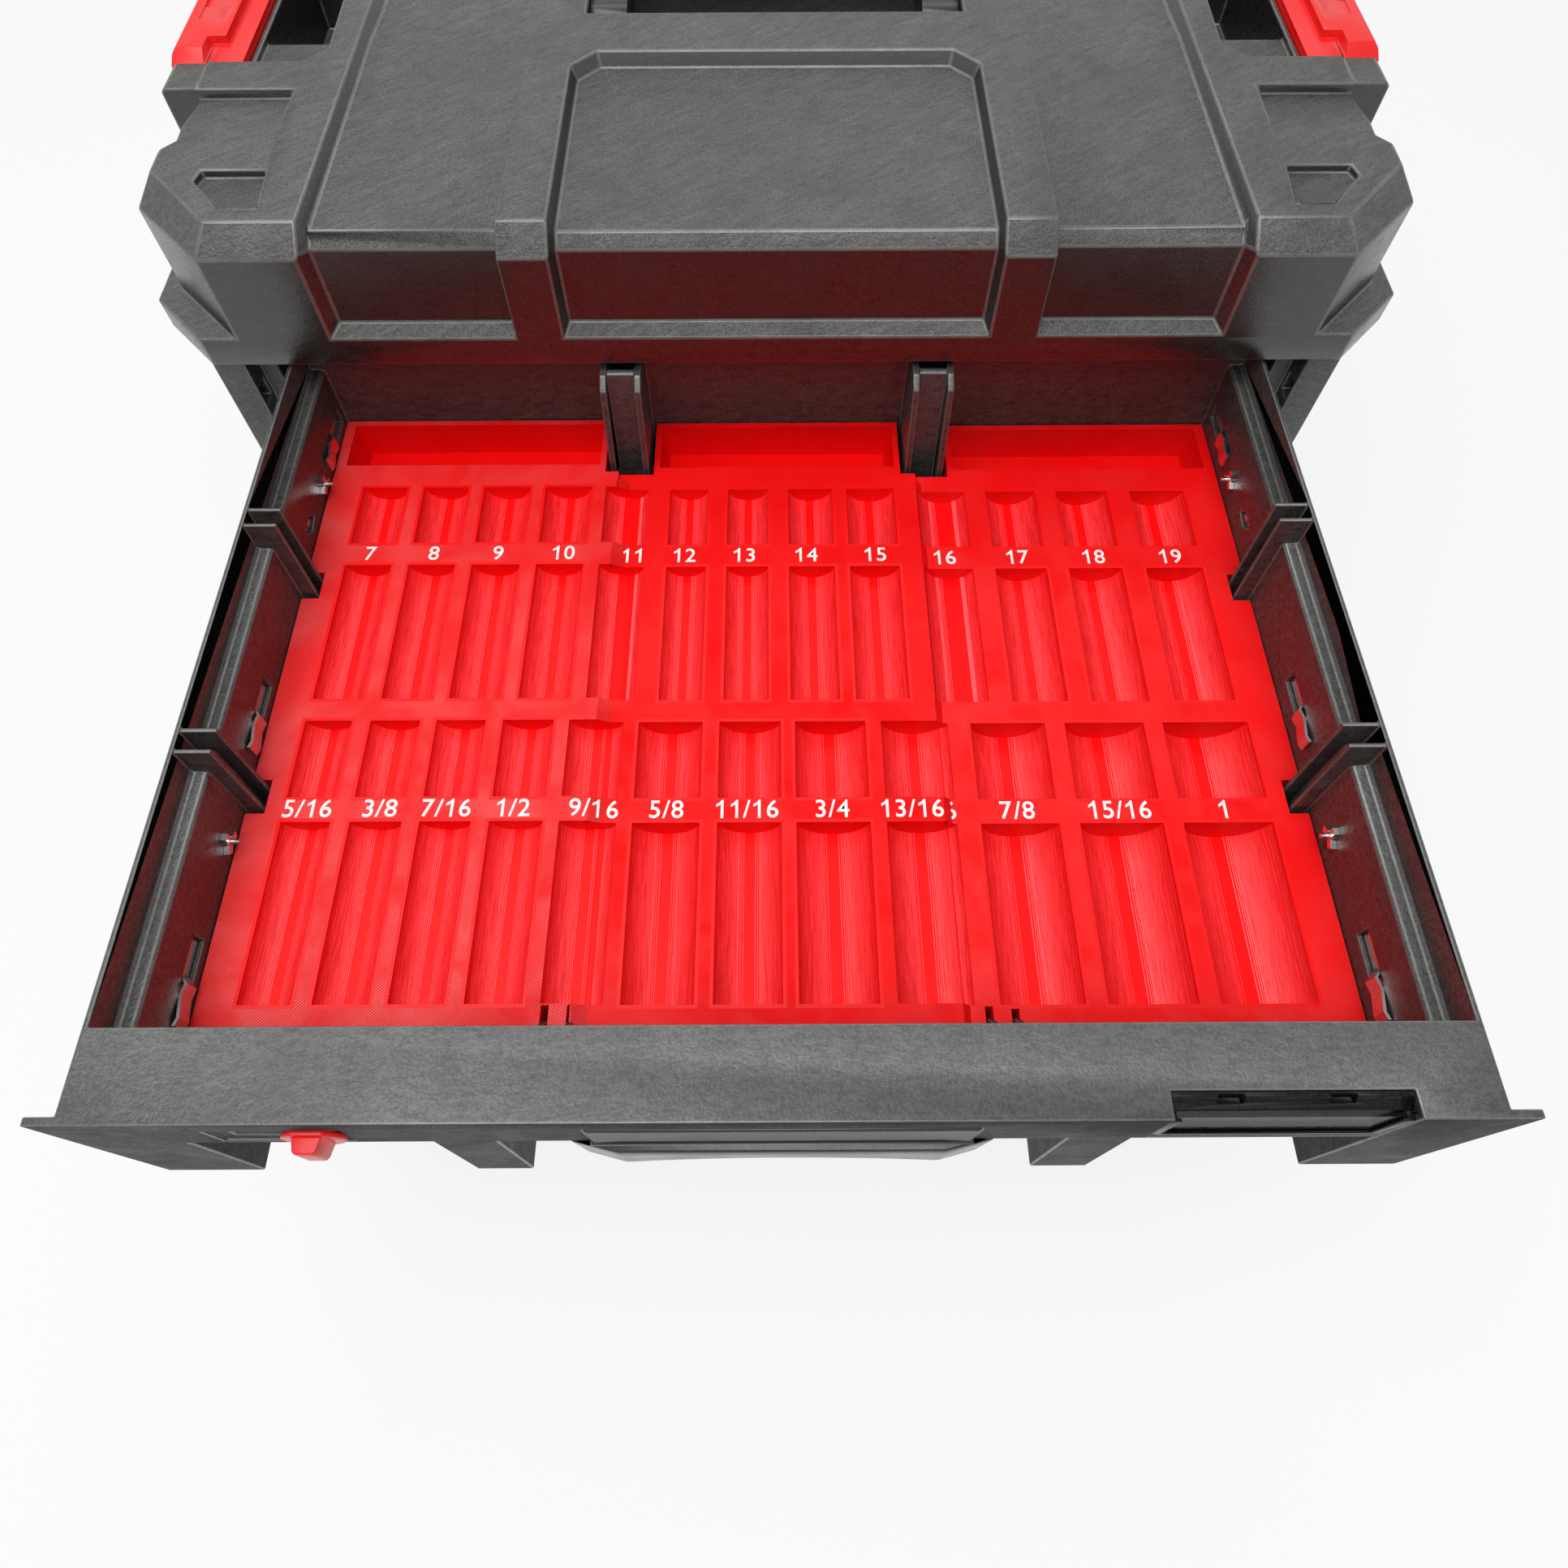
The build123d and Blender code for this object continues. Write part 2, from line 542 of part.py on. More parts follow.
# ---------------------------------------------------------------- handle and latches
def make_carry_handle():
    """A bail that lies back in its pocket and swings up about the hub pins."""
    arm_outer = HANDLE_HALF_WIDTH - 0.6
    arm_inner = arm_outer - HANDLE_ARM_WIDTH
    y, z = HANDLE_PIVOT_Y, HANDLE_PIVOT_Z
    half = GRIP_HEIGHT / 2
    arm = rod_x(HANDLE_HUB_RADIUS, arm_inner, arm_outer, y, z)
    arm += prism_x(
        [
            (y, z - HANDLE_HUB_RADIUS),
            (y + HANDLE_ARM, z - half),
            (y + HANDLE_ARM + GRIP_THICKNESS / 2, z - half + 5),
            (y + HANDLE_ARM + GRIP_THICKNESS / 2, z + half - 5),
            (y + HANDLE_ARM, z + half),
            (y, z + HANDLE_HUB_RADIUS),
        ],
        arm_inner,
        arm_outer,
    )
    grip = prism_x(
        [
            (y + HANDLE_ARM - GRIP_THICKNESS / 2 + 5, z - half),
            (y + HANDLE_ARM + GRIP_THICKNESS / 2 - 5, z - half),
            (y + HANDLE_ARM + GRIP_THICKNESS / 2, z - half + 5),
            (y + HANDLE_ARM + GRIP_THICKNESS / 2, z + half - 5),
            (y + HANDLE_ARM + GRIP_THICKNESS / 2 - 5, z + half),
            (y + HANDLE_ARM - GRIP_THICKNESS / 2 + 5, z + half),
            (y + HANDLE_ARM - GRIP_THICKNESS / 2, z + half - 5),
            (y + HANDLE_ARM - GRIP_THICKNESS / 2, z - half + 5),
        ],
        -arm_inner - 1,
        arm_inner + 1,
    )
    handle = both_sides(arm) + grip
    bore = rod_x(HANDLE_PIN_RADIUS + RUNNING_FIT, arm_inner - 1, arm_outer + 1, y, z)
    return handle - both_sides(bore)


def make_handle_pins():
    pin = rod_x(
        HANDLE_PIN_RADIUS,
        HANDLE_HALF_WIDTH - HANDLE_ARM_WIDTH,
        HANDLE_HALF_WIDTH + WALL,
        HANDLE_PIVOT_Y,
        HANDLE_PIVOT_Z,
    )
    return both_sides(pin)


def latch_section():
    """(x, z) outline of the right-hand latch: barrel strap, outer wall, ridge and inner strip."""
    ridge = CAP_TOP_Z + LATCH_RIDGE
    strip = CAP_TOP_Z + LATCH_STRIP
    x_in, x_out = LATCH_INNER_X, LATCH_OUTER_X
    ridge_x = x_out - 15
    t = LATCH_THICKNESS
    return [
        (LATCH_PIVOT_X - 2, LATCH_PIVOT_Z),
        (LATCH_PIVOT_X + 2, LATCH_PIVOT_Z),
        (x_out, LATCH_PIVOT_Z + 12),
        (x_out, ridge - 2),
        (x_out - 1.5, ridge),
        (ridge_x, ridge),
        (ridge_x - 1, strip),
        (x_in, strip),
        (x_in, strip - 12),
        (x_in + t, strip - 12),
        (x_in + t, strip - t),
        (x_out - 9, strip - t),
        (x_out - t - 1, strip - 14),
        (x_out - t - 1, LATCH_PIVOT_Z + 14),
    ]


def make_latch_right():
    length = LATCH_HALF_LENGTH - 1.0
    latch = prism_y(latch_section(), -length, length)
    latch += rod_y(LATCH_BARREL_RADIUS, -length, length, LATCH_PIVOT_X, LATCH_PIVOT_Z)
    latch -= rod_y(LATCH_PIN_RADIUS + RUNNING_FIT, -FAR, FAR, LATCH_PIVOT_X, LATCH_PIVOT_Z)
    ridge = CAP_TOP_Z + LATCH_RIDGE
    strip = CAP_TOP_Z + LATCH_STRIP
    x_out = LATCH_OUTER_X
    # Wider finger pad in the middle with two shallow steps, and a bevel at each end of the ridge.
    pad = LATCH_PAD_HALF
    pad_x = x_out - 24.5
    latch += block(pad_x, x_out - 12, -pad, pad, strip - 1, ridge)
    latch -= block(x_out - 20, x_out - 6.5, -39, 39, ridge - 0.6, ridge + 1)
    latch -= block(pad_x + 2, x_out - 6.5, -27, 27, ridge - 1.6, ridge + 1)
    bevel = [(-pad - 10, ridge), (-length - 1, strip - 1), (-length - 1, ridge + 2), (-pad - 10, ridge + 2)]
    latch -= both_ends(prism_x(bevel, x_out - 17, x_out + 1))
    return latch


def make_latch_pins():
    reach = LATCH_HALF_LENGTH + PIN_SEAT
    return both_sides(rod_y(LATCH_PIN_RADIUS, -reach, reach, LATCH_PIVOT_X, LATCH_PIVOT_Z))


# ---------------------------------------------------------------- housing
def rail_section(rim_z):
    """(x, z) outline of the hat rail that carries one slide on the right-hand panel."""
    z = rim_z - RIM_TO_SLIDE
    h = RAIL_HALF_HEIGHT
    x_in, x_out = SLIDE_OUTER_X, HALF_BODY - SIDE_PLATE + 0.5
    return [
        (x_out, z - h - 3),
        (x_in, z - h),
        (x_in, z + h),
        (x_out, z + h + 3),
        (x_out, z + h),
        (x_in + WALL, z + h - WALL),
        (x_in + WALL, z - h + WALL),
        (x_out, z - h),
    ]


def make_side_panel_right():
    """Outer skin with recessed fields, front jamb, rear return and a hat rail for each slide."""
    z0, z1 = BASE_TOP_Z, CAP_Z
    x = HALF_BODY
    front, back = FASCIA_Y - 1.0, HALF_DEPTH - WALL * 2
    panel = block(x - SIDE_PLATE, x, front, back, z0, z1)
    field = (HALF_DEPTH - 50.0) * 2 / 3 - 8.0
    for y in (-field - 12.0, 0.0, field + 12.0):
        panel -= block(x - SIDE_FIELD, x + 1, y - field / 2, y + field / 2, z0 + 14, z1 - 12)
    panel += block(x - JAMB_WIDTH, x, front, front + JAMB_DEPTH, z0, z1)
    lip_x = WING_HALF_WIDTH + 1.5
    panel += block(lip_x, x - JAMB_WIDTH + 1, front + 12, front + JAMB_DEPTH, z0, z1)
    panel += block(x - JAMB_WIDTH, x, back - WALL, back, z0, z1)
    for rim_z in (LOWER_RIM_Z, UPPER_RIM_Z):
        panel += prism_y(rail_section(rim_z), front + JAMB_DEPTH - 1, back - WALL)
        slot_z = rim_z - RIM_TO_LOCK
        reach = BOLT_HEIGHT / 2 + 2
        slot_y0, slot_y1 = BOLT_Y - 2.5, BOLT_Y + BOLT_THICKNESS + 2.5
        panel -= block(x - JAMB_WIDTH - 1, x - JAMB_WIDTH + 10, slot_y0, slot_y1, slot_z - reach, slot_z + reach)
    for px, y in cap_screw_places()[2:]:
        panel += block(px - 7, x - 1, y - 7, y + 7, z1 - 6, z1)
        panel += block(px - 7, x - 1, y - 7, y + 7, z0, z0 + 6)
        panel -= Pos(px, y, z1 - 3) * Cylinder(SCREW_RADIUS, 6.01)
        panel -= Pos(px, y, z0 + 3) * Cylinder(SCREW_RADIUS, 6.01)
    return panel


def make_back_panel():
    """Plain ribbed back between the side panels."""
    y1 = HALF_DEPTH - WALL * 2
    half = HALF_BODY - JAMB_WIDTH
    panel = block(-half, half, y1 - WALL, y1, BASE_TOP_Z, CAP_Z)
    for x in (-180.0, -60.0, 60.0, 180.0):
        panel += block(x - 12, x + 12, y1 - 0.5, y1 + WALL, BASE_TOP_Z + 12, CAP_Z - 12)
    return panel


def make_base_pan():
    """Foot moulding: a hollow tray under the side panels with a boss over each foot."""
    bottom = FEET_HEIGHT
    plan = cornered_plan(BUMPER_X, BUMPER_CHAMFER, 2 * TOP_BEVEL, HALF_BODY + 1)
    pan = prism_z(plan, bottom, BASE_TOP_Z)
    half_x = HALF_BODY - 4
    half_y = HALF_DEPTH - WALL
    right = [(half_x - 24, -half_y), (half_x, -half_y + 24), (half_x, half_y - 24), (half_x - 24, half_y)]
    hollow = right + [(-x, y) for x, y in reversed(right)]
    pan -= prism_z(hollow, bottom - 1, BASE_TOP_Z - WALL)
    for x in (-180.0, -60.0, 60.0, 180.0):
        pan += block(x - 1.5, x + 1.5, -half_y, half_y, bottom + 3, BASE_TOP_Z - 1)
    for y in (-90.0, 90.0):
        pan += block(-half_x, half_x, y - 1.5, y + 1.5, bottom + 3, BASE_TOP_Z - 1)
    for x, y in foot_places():
        pan += Pos(x, y, (bottom + BASE_TOP_Z - 1) / 2) * Cylinder(FOOT_RADIUS + 3, BASE_TOP_Z - 1 - bottom)
        pan -= Pos(x, y, bottom + 4) * Cylinder(FOOT_STEM_RADIUS, 8)
    for x, y in cap_screw_places():
        pan += Pos(x, y, (bottom + 3 + BASE_TOP_Z) / 2) * Cylinder(6, BASE_TOP_Z - bottom - 3)
        pan -= Pos(x, y, BASE_TOP_Z - 4) * Cylinder(SCREW_RADIUS, 8)
    return pan


def foot_places():
    """Four feet near the corners and one in the middle."""
    x, y = HALF_BODY - 55.0, HALF_DEPTH - 40.0
    return [(sx * x, sy * y) for sx in (-1, 1) for sy in (-1, 1)] + [(0.0, 0.0)]


def make_feet():
    feet = [
        Pos(x, y, FEET_HEIGHT / 2) * Cylinder(FOOT_RADIUS, FEET_HEIGHT)
        + Pos(x, y, FEET_HEIGHT + 3) * Cylinder(FOOT_STEM_RADIUS, 6.01)
        for x, y in foot_places()
    ]
    return Compound(feet)


def make_mid_rail():
    """Cross rail behind the fascias, which ties the side panels together."""
    z0 = LOWER_RIM_Z + 6
    half = HALF_BODY - SIDE_PLATE
    y0, y1 = FRONT_Y + 37, FRONT_Y + 62
    rail = block(-half, half, y0, y1, z0, z0 + 10)
    return rail - block(-half + 20, half - 20, y0 + WALL, y1 - WALL, z0 - 1, z0 + 7)


def make_housing_screws():
    """Screws from the side panels into the cap above and the base pan below."""
    screws = []
    for x, y in cap_screw_places():
        up = Pos(x, y, CAP_Z + 1) * Cylinder(SCREW_RADIUS, 24) + Pos(x, y, CAP_Z - 7.5) * Cylinder(4, 3)
        down = Pos(x, y, BASE_TOP_Z) * Cylinder(SCREW_RADIUS, 14) + Pos(x, y, BASE_TOP_Z + 7.5) * Cylinder(4, 3)
        screws += [up, down]
    return Compound(screws)


# ---------------------------------------------------------------- slides
def channel_right(x_web, x_lip, half_height, y0, y1, z):
    """A C-channel of SLIDE_GAUGE sheet with its web at x_web and its flanges ending at x_lip."""
    t = SLIDE_GAUGE
    web_out = x_web + t if x_lip > x_web else x_web - t
    outer = block(min(x_web, x_lip), max(x_web, x_lip), y0, y1, z - half_height, z + half_height)
    inner_x = (min(web_out, x_lip + 1), max(web_out, x_lip + 1)) if x_lip > x_web else (x_lip - 1, web_out)
    inner = block(inner_x[0], inner_x[1], y0 - 1, y1 + 1, z - half_height + t, z + half_height - t)
    return outer - inner


def slide_span():
    y0 = FASCIA_Y + SLIDE_FRONT_OFFSET
    return y0, y0 + SLIDE_LENGTH


def slide_cabinet_right(rim_z):
    y0, y1 = slide_span()
    z = rim_z - RIM_TO_SLIDE
    x_lip = SLIDE_OUTER_X - SLIDE_THICKNESS * 0.62
    member = channel_right(SLIDE_OUTER_X, x_lip, SLIDE_HEIGHT / 2, y0 + 3, y1 + 3, z)
    web = SLIDE_OUTER_X - SLIDE_GAUGE / 2
    for y in (y0 + 40, y0 + 150, y1 - 40):
        member -= rod_x(2.2, web - 2, web + 2, y, z)
    return member


def slide_middle_right(rim_z):
    y0, y1 = slide_span()
    z = rim_z - RIM_TO_SLIDE
    half = SLIDE_HEIGHT / 2 - SLIDE_GAUGE - SLIDE_CLEARANCE
    x_web = SLIDE_OUTER_X - SLIDE_GAUGE - 2.0
    x_lip = SLIDE_OUTER_X - SLIDE_THICKNESS * 0.84
    member = channel_right(x_web, x_lip, half, y0 + 1.5, y1 + 1.5, z)
    for y in (y0 + 60, y1 - 60):
        member -= block(x_web - 3, x_web + 1, y - 30, y + 30, z - 5, z + 5)
    return member


def slide_drawer_right(rim_z):
    """Drawer member: its web lies on the drawer's wall and its tabs come through the wall."""
    y0, y1 = slide_span()
    z = rim_z - RIM_TO_SLIDE
    half = SLIDE_HEIGHT / 2 - 2 * SLIDE_GAUGE - 2 * SLIDE_CLEARANCE
    x_lip = SLIDE_INNER_X + SLIDE_THICKNESS * 0.55
    member = channel_right(SLIDE_INNER_X, x_lip, half, y0, y1, z)
    for offset in TAB_OFFSETS:
        member += slide_tab_right(along(offset), z)
    web = SLIDE_INNER_X + SLIDE_GAUGE / 2
    for offset in RIVET_OFFSETS:
        member -= rod_x(RIVET_RADIUS, web - 2, web + 2, along(offset), z)
    diamond_y = along(DIAMOND_OFFSET)
    member += block(SLIDE_INNER_X - 1.2, SLIDE_INNER_X + 0.2, diamond_y - 3, diamond_y + 1, z - 1.5, z + 1.5)
    return member


def slide_tab_right(y, z):
    """One bent tab: out through the slot, an S-bend, then along the inside of the wall."""
    inner = TUB_INNER_X - TAB_STAND_OFF
    middle = SLIDE_INNER_X + SLIDE_GAUGE / 2
    half = TAB_LENGTH / 2
    bends = [
        (middle, y + half + 6),
        (middle, y + half),
        (inner + 0.6, y + half - 5),
        (inner + 1.6, y + 1),
        (inner + 0.2, y - half + 3),
        (inner + 1.2, y - half),
    ]
    reach = SLIDE_GAUGE / 2
    outline = [(x - reach, v) for x, v in bends] + [(x + reach, v) for x, v in reversed(bends)]
    return prism_z(outline, z - TAB_WIDTH / 2, z + TAB_WIDTH / 2)


# ---------------------------------------------------------------- drawer box
def wall_section(rim_z):
    """(x, z) outline of the right-hand wall: inner wall, ledge and thin upper wall."""
    ledge = rim_z - RIM_TO_LEDGE
    return [
        (TUB_INNER_X, rim_z - RIM_TO_FLOOR - TUB_FLOOR),
        (SLIDE_INNER_X, rim_z - RIM_TO_FLOOR - TUB_FLOOR),
        (SLIDE_INNER_X, ledge - TUB_WALL),
        (TUB_HALF_WIDTH, ledge - TUB_WALL),
        (TUB_HALF_WIDTH, rim_z),
        (TUB_HALF_WIDTH - RIM_WALL, rim_z),
        (TUB_HALF_WIDTH - RIM_WALL, ledge + 1.5),
        (TUB_HALF_WIDTH - RIM_WALL - 1.5, ledge),
        (TUB_INNER_X + 1.2, ledge),
        (TUB_INNER_X, ledge - 1.2),
    ]


def tub_shell(rim_z):
    """Floor, side walls with their ledges, front wall and rear wall."""
    y0 = FASCIA_Y + TOP_PLATE_DEPTH - FASCIA_WALL
    y1 = FASCIA_Y + DRAWER_LENGTH
    floor_z = rim_z - RIM_TO_FLOOR
    shell = both_sides(prism_y(wall_section(rim_z), y0, y1))
    shell += block(-TUB_INNER_X - 1, TUB_INNER_X + 1, y0, y1, floor_z - TUB_FLOOR, floor_z)
    end_outline = [
        (TUB_INNER_X + 1, floor_z - TUB_FLOOR),
        (TUB_INNER_X + 1, rim_z - RIM_TO_LEDGE - TUB_WALL),
        (TUB_HALF_WIDTH - 1, rim_z - RIM_TO_LEDGE - TUB_WALL),
        (TUB_HALF_WIDTH - 1, rim_z),
    ]
    end_outline += [(-x, z) for x, z in reversed(end_outline)]
    shell += prism_y(end_outline, y0, y0 + FASCIA_WALL)
    shell += prism_y(end_outline, y1 - FASCIA_WALL, y1)
    return shell


def fascia_shell(rim_z):
    """Front of the drawer: top plate, upper band with wings, and the ribbed lower part."""
    low = rim_z - FASCIA_HEIGHT
    band = rim_z - BAND_HEIGHT
    y = FASCIA_Y
    w = FASCIA_WALL
    back = y + TOP_PLATE_DEPTH
    front = block(-WING_HALF_WIDTH, WING_HALF_WIDTH, y, y + w, band, rim_z)
    front += block(-TUB_HALF_WIDTH, TUB_HALF_WIDTH, y, back, rim_z - TOP_PLATE_THICKNESS, rim_z)
    front += both_sides(block(TUB_HALF_WIDTH - w, TUB_HALF_WIDTH, y, back, low, rim_z))
    # Corner legs and ribs come down flush with the band.
    front += both_sides(block(CORNER_LEG_X, WING_HALF_WIDTH, y, y + w, low, band + 1))
    front += both_sides(block(RIB_INNER_X, RIB_OUTER_X, y, y + w, low, band + 1))
    recess = y + FASCIA_RECESS
    for x0, x1 in ((-CORNER_LEG_X, -RIB_OUTER_X), (-RIB_INNER_X, RIB_INNER_X), (RIB_OUTER_X, CORNER_LEG_X)):
        front += block(x0 - w, x1 + w, recess, recess + w, low, band)
        front += block(x0 - w, x1 + w, y, recess + w, band, band + w)
        front += block(x0 - w, x0, y, recess + w, low, band + w)
        front += block(x1, x1 + w, y, recess + w, low, band + w)
    front += both_sides(block(CORNER_LEG_X + w, TUB_HALF_WIDTH - w, recess, recess + w, low, rim_z - 1))
    return front


def divider_plates():
    """Thin upright plates that stand out from the side walls, in the closed drawer's frame."""
    plates = []
    for offset in PLATE_OFFSETS:
        y = along(offset)
        plates.append((y - PLATE_THICKNESS / 2, y + PLATE_THICKNESS / 2))
    return plates


def rear_post(rim_z):
    """Right-hand U-shaped post: two leaning cheeks with a web set back between them."""
    wall_y = FASCIA_Y + DRAWER_LENGTH - FASCIA_WALL
    floor_z = rim_z - RIM_TO_FLOOR
    cheek = [
        (wall_y + 1, floor_z),
        (wall_y + 1, rim_z - 2),
        (wall_y - 20, rim_z - 3),
        (wall_y - POST_REACH + POST_LEAN, rim_z - 8),
        (wall_y - POST_REACH, floor_z + 30),
        (wall_y - POST_REACH, floor_z),
    ]
    post = prism_x(cheek, POST_INNER_X, POST_INNER_X + POST_WALL)
    post += prism_x(cheek, POST_OUTER_X - POST_WALL, POST_OUTER_X)
    web = [
        (wall_y - POST_REACH + POST_WEB_BACK + POST_LEAN, rim_z - 4),
        (wall_y - POST_REACH + POST_WEB_BACK + POST_LEAN + 3, rim_z - 3),
        (wall_y - POST_REACH + POST_WEB_BACK + 3, floor_z),
        (wall_y - POST_REACH + POST_WEB_BACK, floor_z),
    ]
    post += prism_x(web, POST_INNER_X, POST_OUTER_X)
    return post


def front_gusset(rim_z, x):
    wall_y = FASCIA_Y + TOP_PLATE_DEPTH
    floor_z = rim_z - RIM_TO_FLOOR
    outline = [
        (wall_y - 1, rim_z - 22),
        (wall_y, rim_z - 22),
        (wall_y + GUSSET_REACH * 0.75, rim_z - 60),
        (wall_y + GUSSET_REACH, floor_z),
        (wall_y - 1, floor_z),
    ]
    return prism_x(outline, x - GUSSET_THICKNESS / 2, x + GUSSET_THICKNESS / 2)


def lock_slot(rim_z):
    """Shallow track for the lock slider and the slot its stem runs in."""
    z = rim_z - RIM_TO_LOCK
    left = LOCK_RIGHT_X - LOCK_PLATE_WIDTH - LOCK_TRAVEL
    half = LOCK_PLATE_HEIGHT / 2
    track = block(left - 0.5, LOCK_RIGHT_X + 0.5, FASCIA_Y - 1, FASCIA_Y + 1.0, z - half - 0.5, z + half + 0.5)
    stem_half = LOCK_STEM / 2 + 0.5
    middle = LOCK_RIGHT_X - LOCK_PLATE_WIDTH / 2
    y1 = FASCIA_Y + FASCIA_WALL + 1
    slot = block(middle - LOCK_TRAVEL - stem_half, middle + stem_half, FASCIA_Y - 1, y1, z - 3.5, z + 3.5)
    reach = BOLT_HEIGHT / 2 + BOLT_CLEARANCE
    y0, y1 = BOLT_Y - BOLT_CLEARANCE, BOLT_Y + BOLT_THICKNESS + BOLT_CLEARANCE
    wall_x = FASCIA_WALL + 1 - TUB_HALF_WIDTH
    hole = block(-TUB_HALF_WIDTH - 1, wall_x, y0, y1, z - reach, z + reach)
    return track + slot + hole


def make_drawer_box(rim_z):
    box = tub_shell(rim_z) + fascia_shell(rim_z)
    floor_z = rim_z - RIM_TO_FLOOR
    ledge_z = rim_z - RIM_TO_LEDGE
    for y0, y1 in divider_plates():
        box += both_sides(block(PLATE_INNER_X, TUB_INNER_X + 1, y0, y1, floor_z - 1, rim_z - 0.6))
        box += both_sides(block(TUB_INNER_X, TUB_HALF_WIDTH - 1, y0, y1, ledge_z - 1, rim_z - 0.6))
    box += both_sides(rear_post(rim_z))
    for x in GUSSET_XS:
        box += both_sides(front_gusset(rim_z, x))
    # Slots for the slide tabs, the diamond slot and the rivet holes.
    z = rim_z - RIM_TO_SLIDE
    x0, x1 = TUB_INNER_X - 1, SLIDE_INNER_X + 1
    half = TAB_LENGTH / 2
    for offset in TAB_OFFSETS:
        y = along(offset)
        slot_end = min(y + half + TAB_SLOT_EXTRA, FASCIA_Y + DRAWER_LENGTH - FASCIA_WALL - 1)
        slot = block(x0, x1, y + half - 8, slot_end, z - TAB_WIDTH / 2 - 0.5, z + TAB_WIDTH / 2 + 0.5)
        box -= both_sides(slot)
    for offset in RIVET_OFFSETS:
        box -= both_sides(rod_x(RIVET_RADIUS, x0, x1, along(offset), z))
    y = along(DIAMOND_OFFSET)
    d = DIAMOND_SIZE
    diamond = [(y - d, z + 2), (y - 1, z + d / 2), (y + d * 0.6, z - 2), (y - 3, z - d / 2)]
    box -= both_sides(prism_x(diamond, x0, x1))
    box -= lock_slot(rim_z)
    box -= block(LABEL_LEFT_X, LABEL_RIGHT_X, FASCIA_Y - 1, FASCIA_Y + LABEL_DEPTH, rim_z - LABEL_HEIGHT, rim_z + 1)
    plate_x = GRIP_HALF_WIDTH - 8
    box -= block(
        -plate_x, plate_x, FASCIA_Y - 1, FASCIA_Y + 1.2, rim_z - BAND_HEIGHT - 1, rim_z - GRIP_RIM_DROP + 0.4
    )
    return box


def make_rivets(rim_z):
    """Peel rivets: a shank through wall and slide, three splayed petals and the pulled pin."""
    z = rim_z - RIM_TO_SLIDE
    rivets = []
    for side in (-1, 1):
        for offset in RIVET_OFFSETS:
            y = along(offset)
            x0, x1 = TUB_INNER_X - 1.6, SLIDE_INNER_X + SLIDE_GAUGE
            rivet = rod_x(RIVET_RADIUS, x0, x1, y, z)
            rivet += rod_x(RIVET_RADIUS + 2, x1, x1 + 1, y, z)
            rivet += rod_x(1.1, TUB_INNER_X - 6, x0 + 0.5, y, z)
            for turn in (90, 210, 330):
                a = radians(turn)
                place = Pos(TUB_INNER_X - 1.3, y + 3.4 * cos(a), z + 3.4 * sin(a))
                rivet += place * Rot(turn, 0, 0) * Box(2.4, 3.6, 3.0)
            rivets.append(rivet if side > 0 else flip_x(rivet))
    return Compound(rivets)


# ---------------------------------------------------------------- lock, grip and label
def make_lock_slider(rim_z):
    """Red thumb slider: a lens-shaped plate, a knob and the stem behind it."""
    z = rim_z - RIM_TO_LOCK
    x1 = LOCK_RIGHT_X
    x0 = x1 - LOCK_PLATE_WIDTH
    y = FASCIA_Y + 0.7
    half = LOCK_PLATE_HEIGHT / 2
    left = [(x0, z - 3), (x0 + 2, z - 7), (x0 + 5.5, z - half)]
    left = [(x, 2 * z - v) for x, v in left[::-1]] + left
    slider = prism_y(left + [(x0 + x1 - x, v) for x, v in reversed(left)], y - LOCK_PLATE_THICKNESS, y)
    middle = (x0 + x1) / 2
    knob = prism_z(
        [
            (middle - 5.4, y - LOCK_PLATE_THICKNESS + 0.5),
            (middle + 5.4, y - LOCK_PLATE_THICKNESS + 0.5),
            (middle + 4.2, y - LOCK_KNOB_REACH + 1),
            (middle + 3.2, y - LOCK_KNOB_REACH),
            (middle - 3.2, y - LOCK_KNOB_REACH),
            (middle - 4.2, y - LOCK_KNOB_REACH + 1),
        ],
        z - 8,
        z + 8,
    )
    stem = block(middle - LOCK_STEM / 2, middle + LOCK_STEM / 2, y - 0.5, BOLT_Y, z - 3, z + 3)
    return slider + knob + stem


def make_lock_bolt(rim_z):
    """Flat bolt behind the fascia, which the slider pushes into the jamb."""
    z = rim_z - RIM_TO_LOCK
    x1 = LOCK_RIGHT_X - LOCK_PLATE_WIDTH / 2 + 12
    return block(-BOLT_REACH_X, x1, BOLT_Y, BOLT_Y + BOLT_THICKNESS, z - BOLT_HEIGHT / 2, z + BOLT_HEIGHT / 2)


def make_pull_grip(rim_z):
    """Curved pull below a bare name plate, open behind for the fingers."""
    y = FASCIA_Y
    half = GRIP_HALF_WIDTH
    plate = block(-half + 8.4, half - 8.4, y - 0.8, y + 1.2, rim_z - BAND_HEIGHT - 1, rim_z - GRIP_RIM_DROP)
    low = rim_z - GRIP_LOW_DROP
    top = rim_z - BAND_HEIGHT
    with BuildSketch(Plane(origin=(0, y + 14, 0), x_dir=(1, 0, 0), z_dir=(0, -1, 0))) as front:
        with BuildLine():
            left = [(-half + 20, low), (-half + 4, low + 4), (-half, top)]
            Polyline(*left, *((-x, z) for x, z in reversed(left)))
            ThreePointArc((half - 20, low), (0, low + 9), (-half + 20, low))
        make_face()
    grip = extrude(front.sketch, amount=18)
    grip -= block(-half + 14, half - 14, y + 1, y + 15, low - 1, top - 4)
    plan = [(-half, y), (-half + 18, y - 4), (half - 18, y - 4), (half, y), (half, y + 15), (-half, y + 15)]
    return plate + (grip & prism_z(plan, low - 2, top))


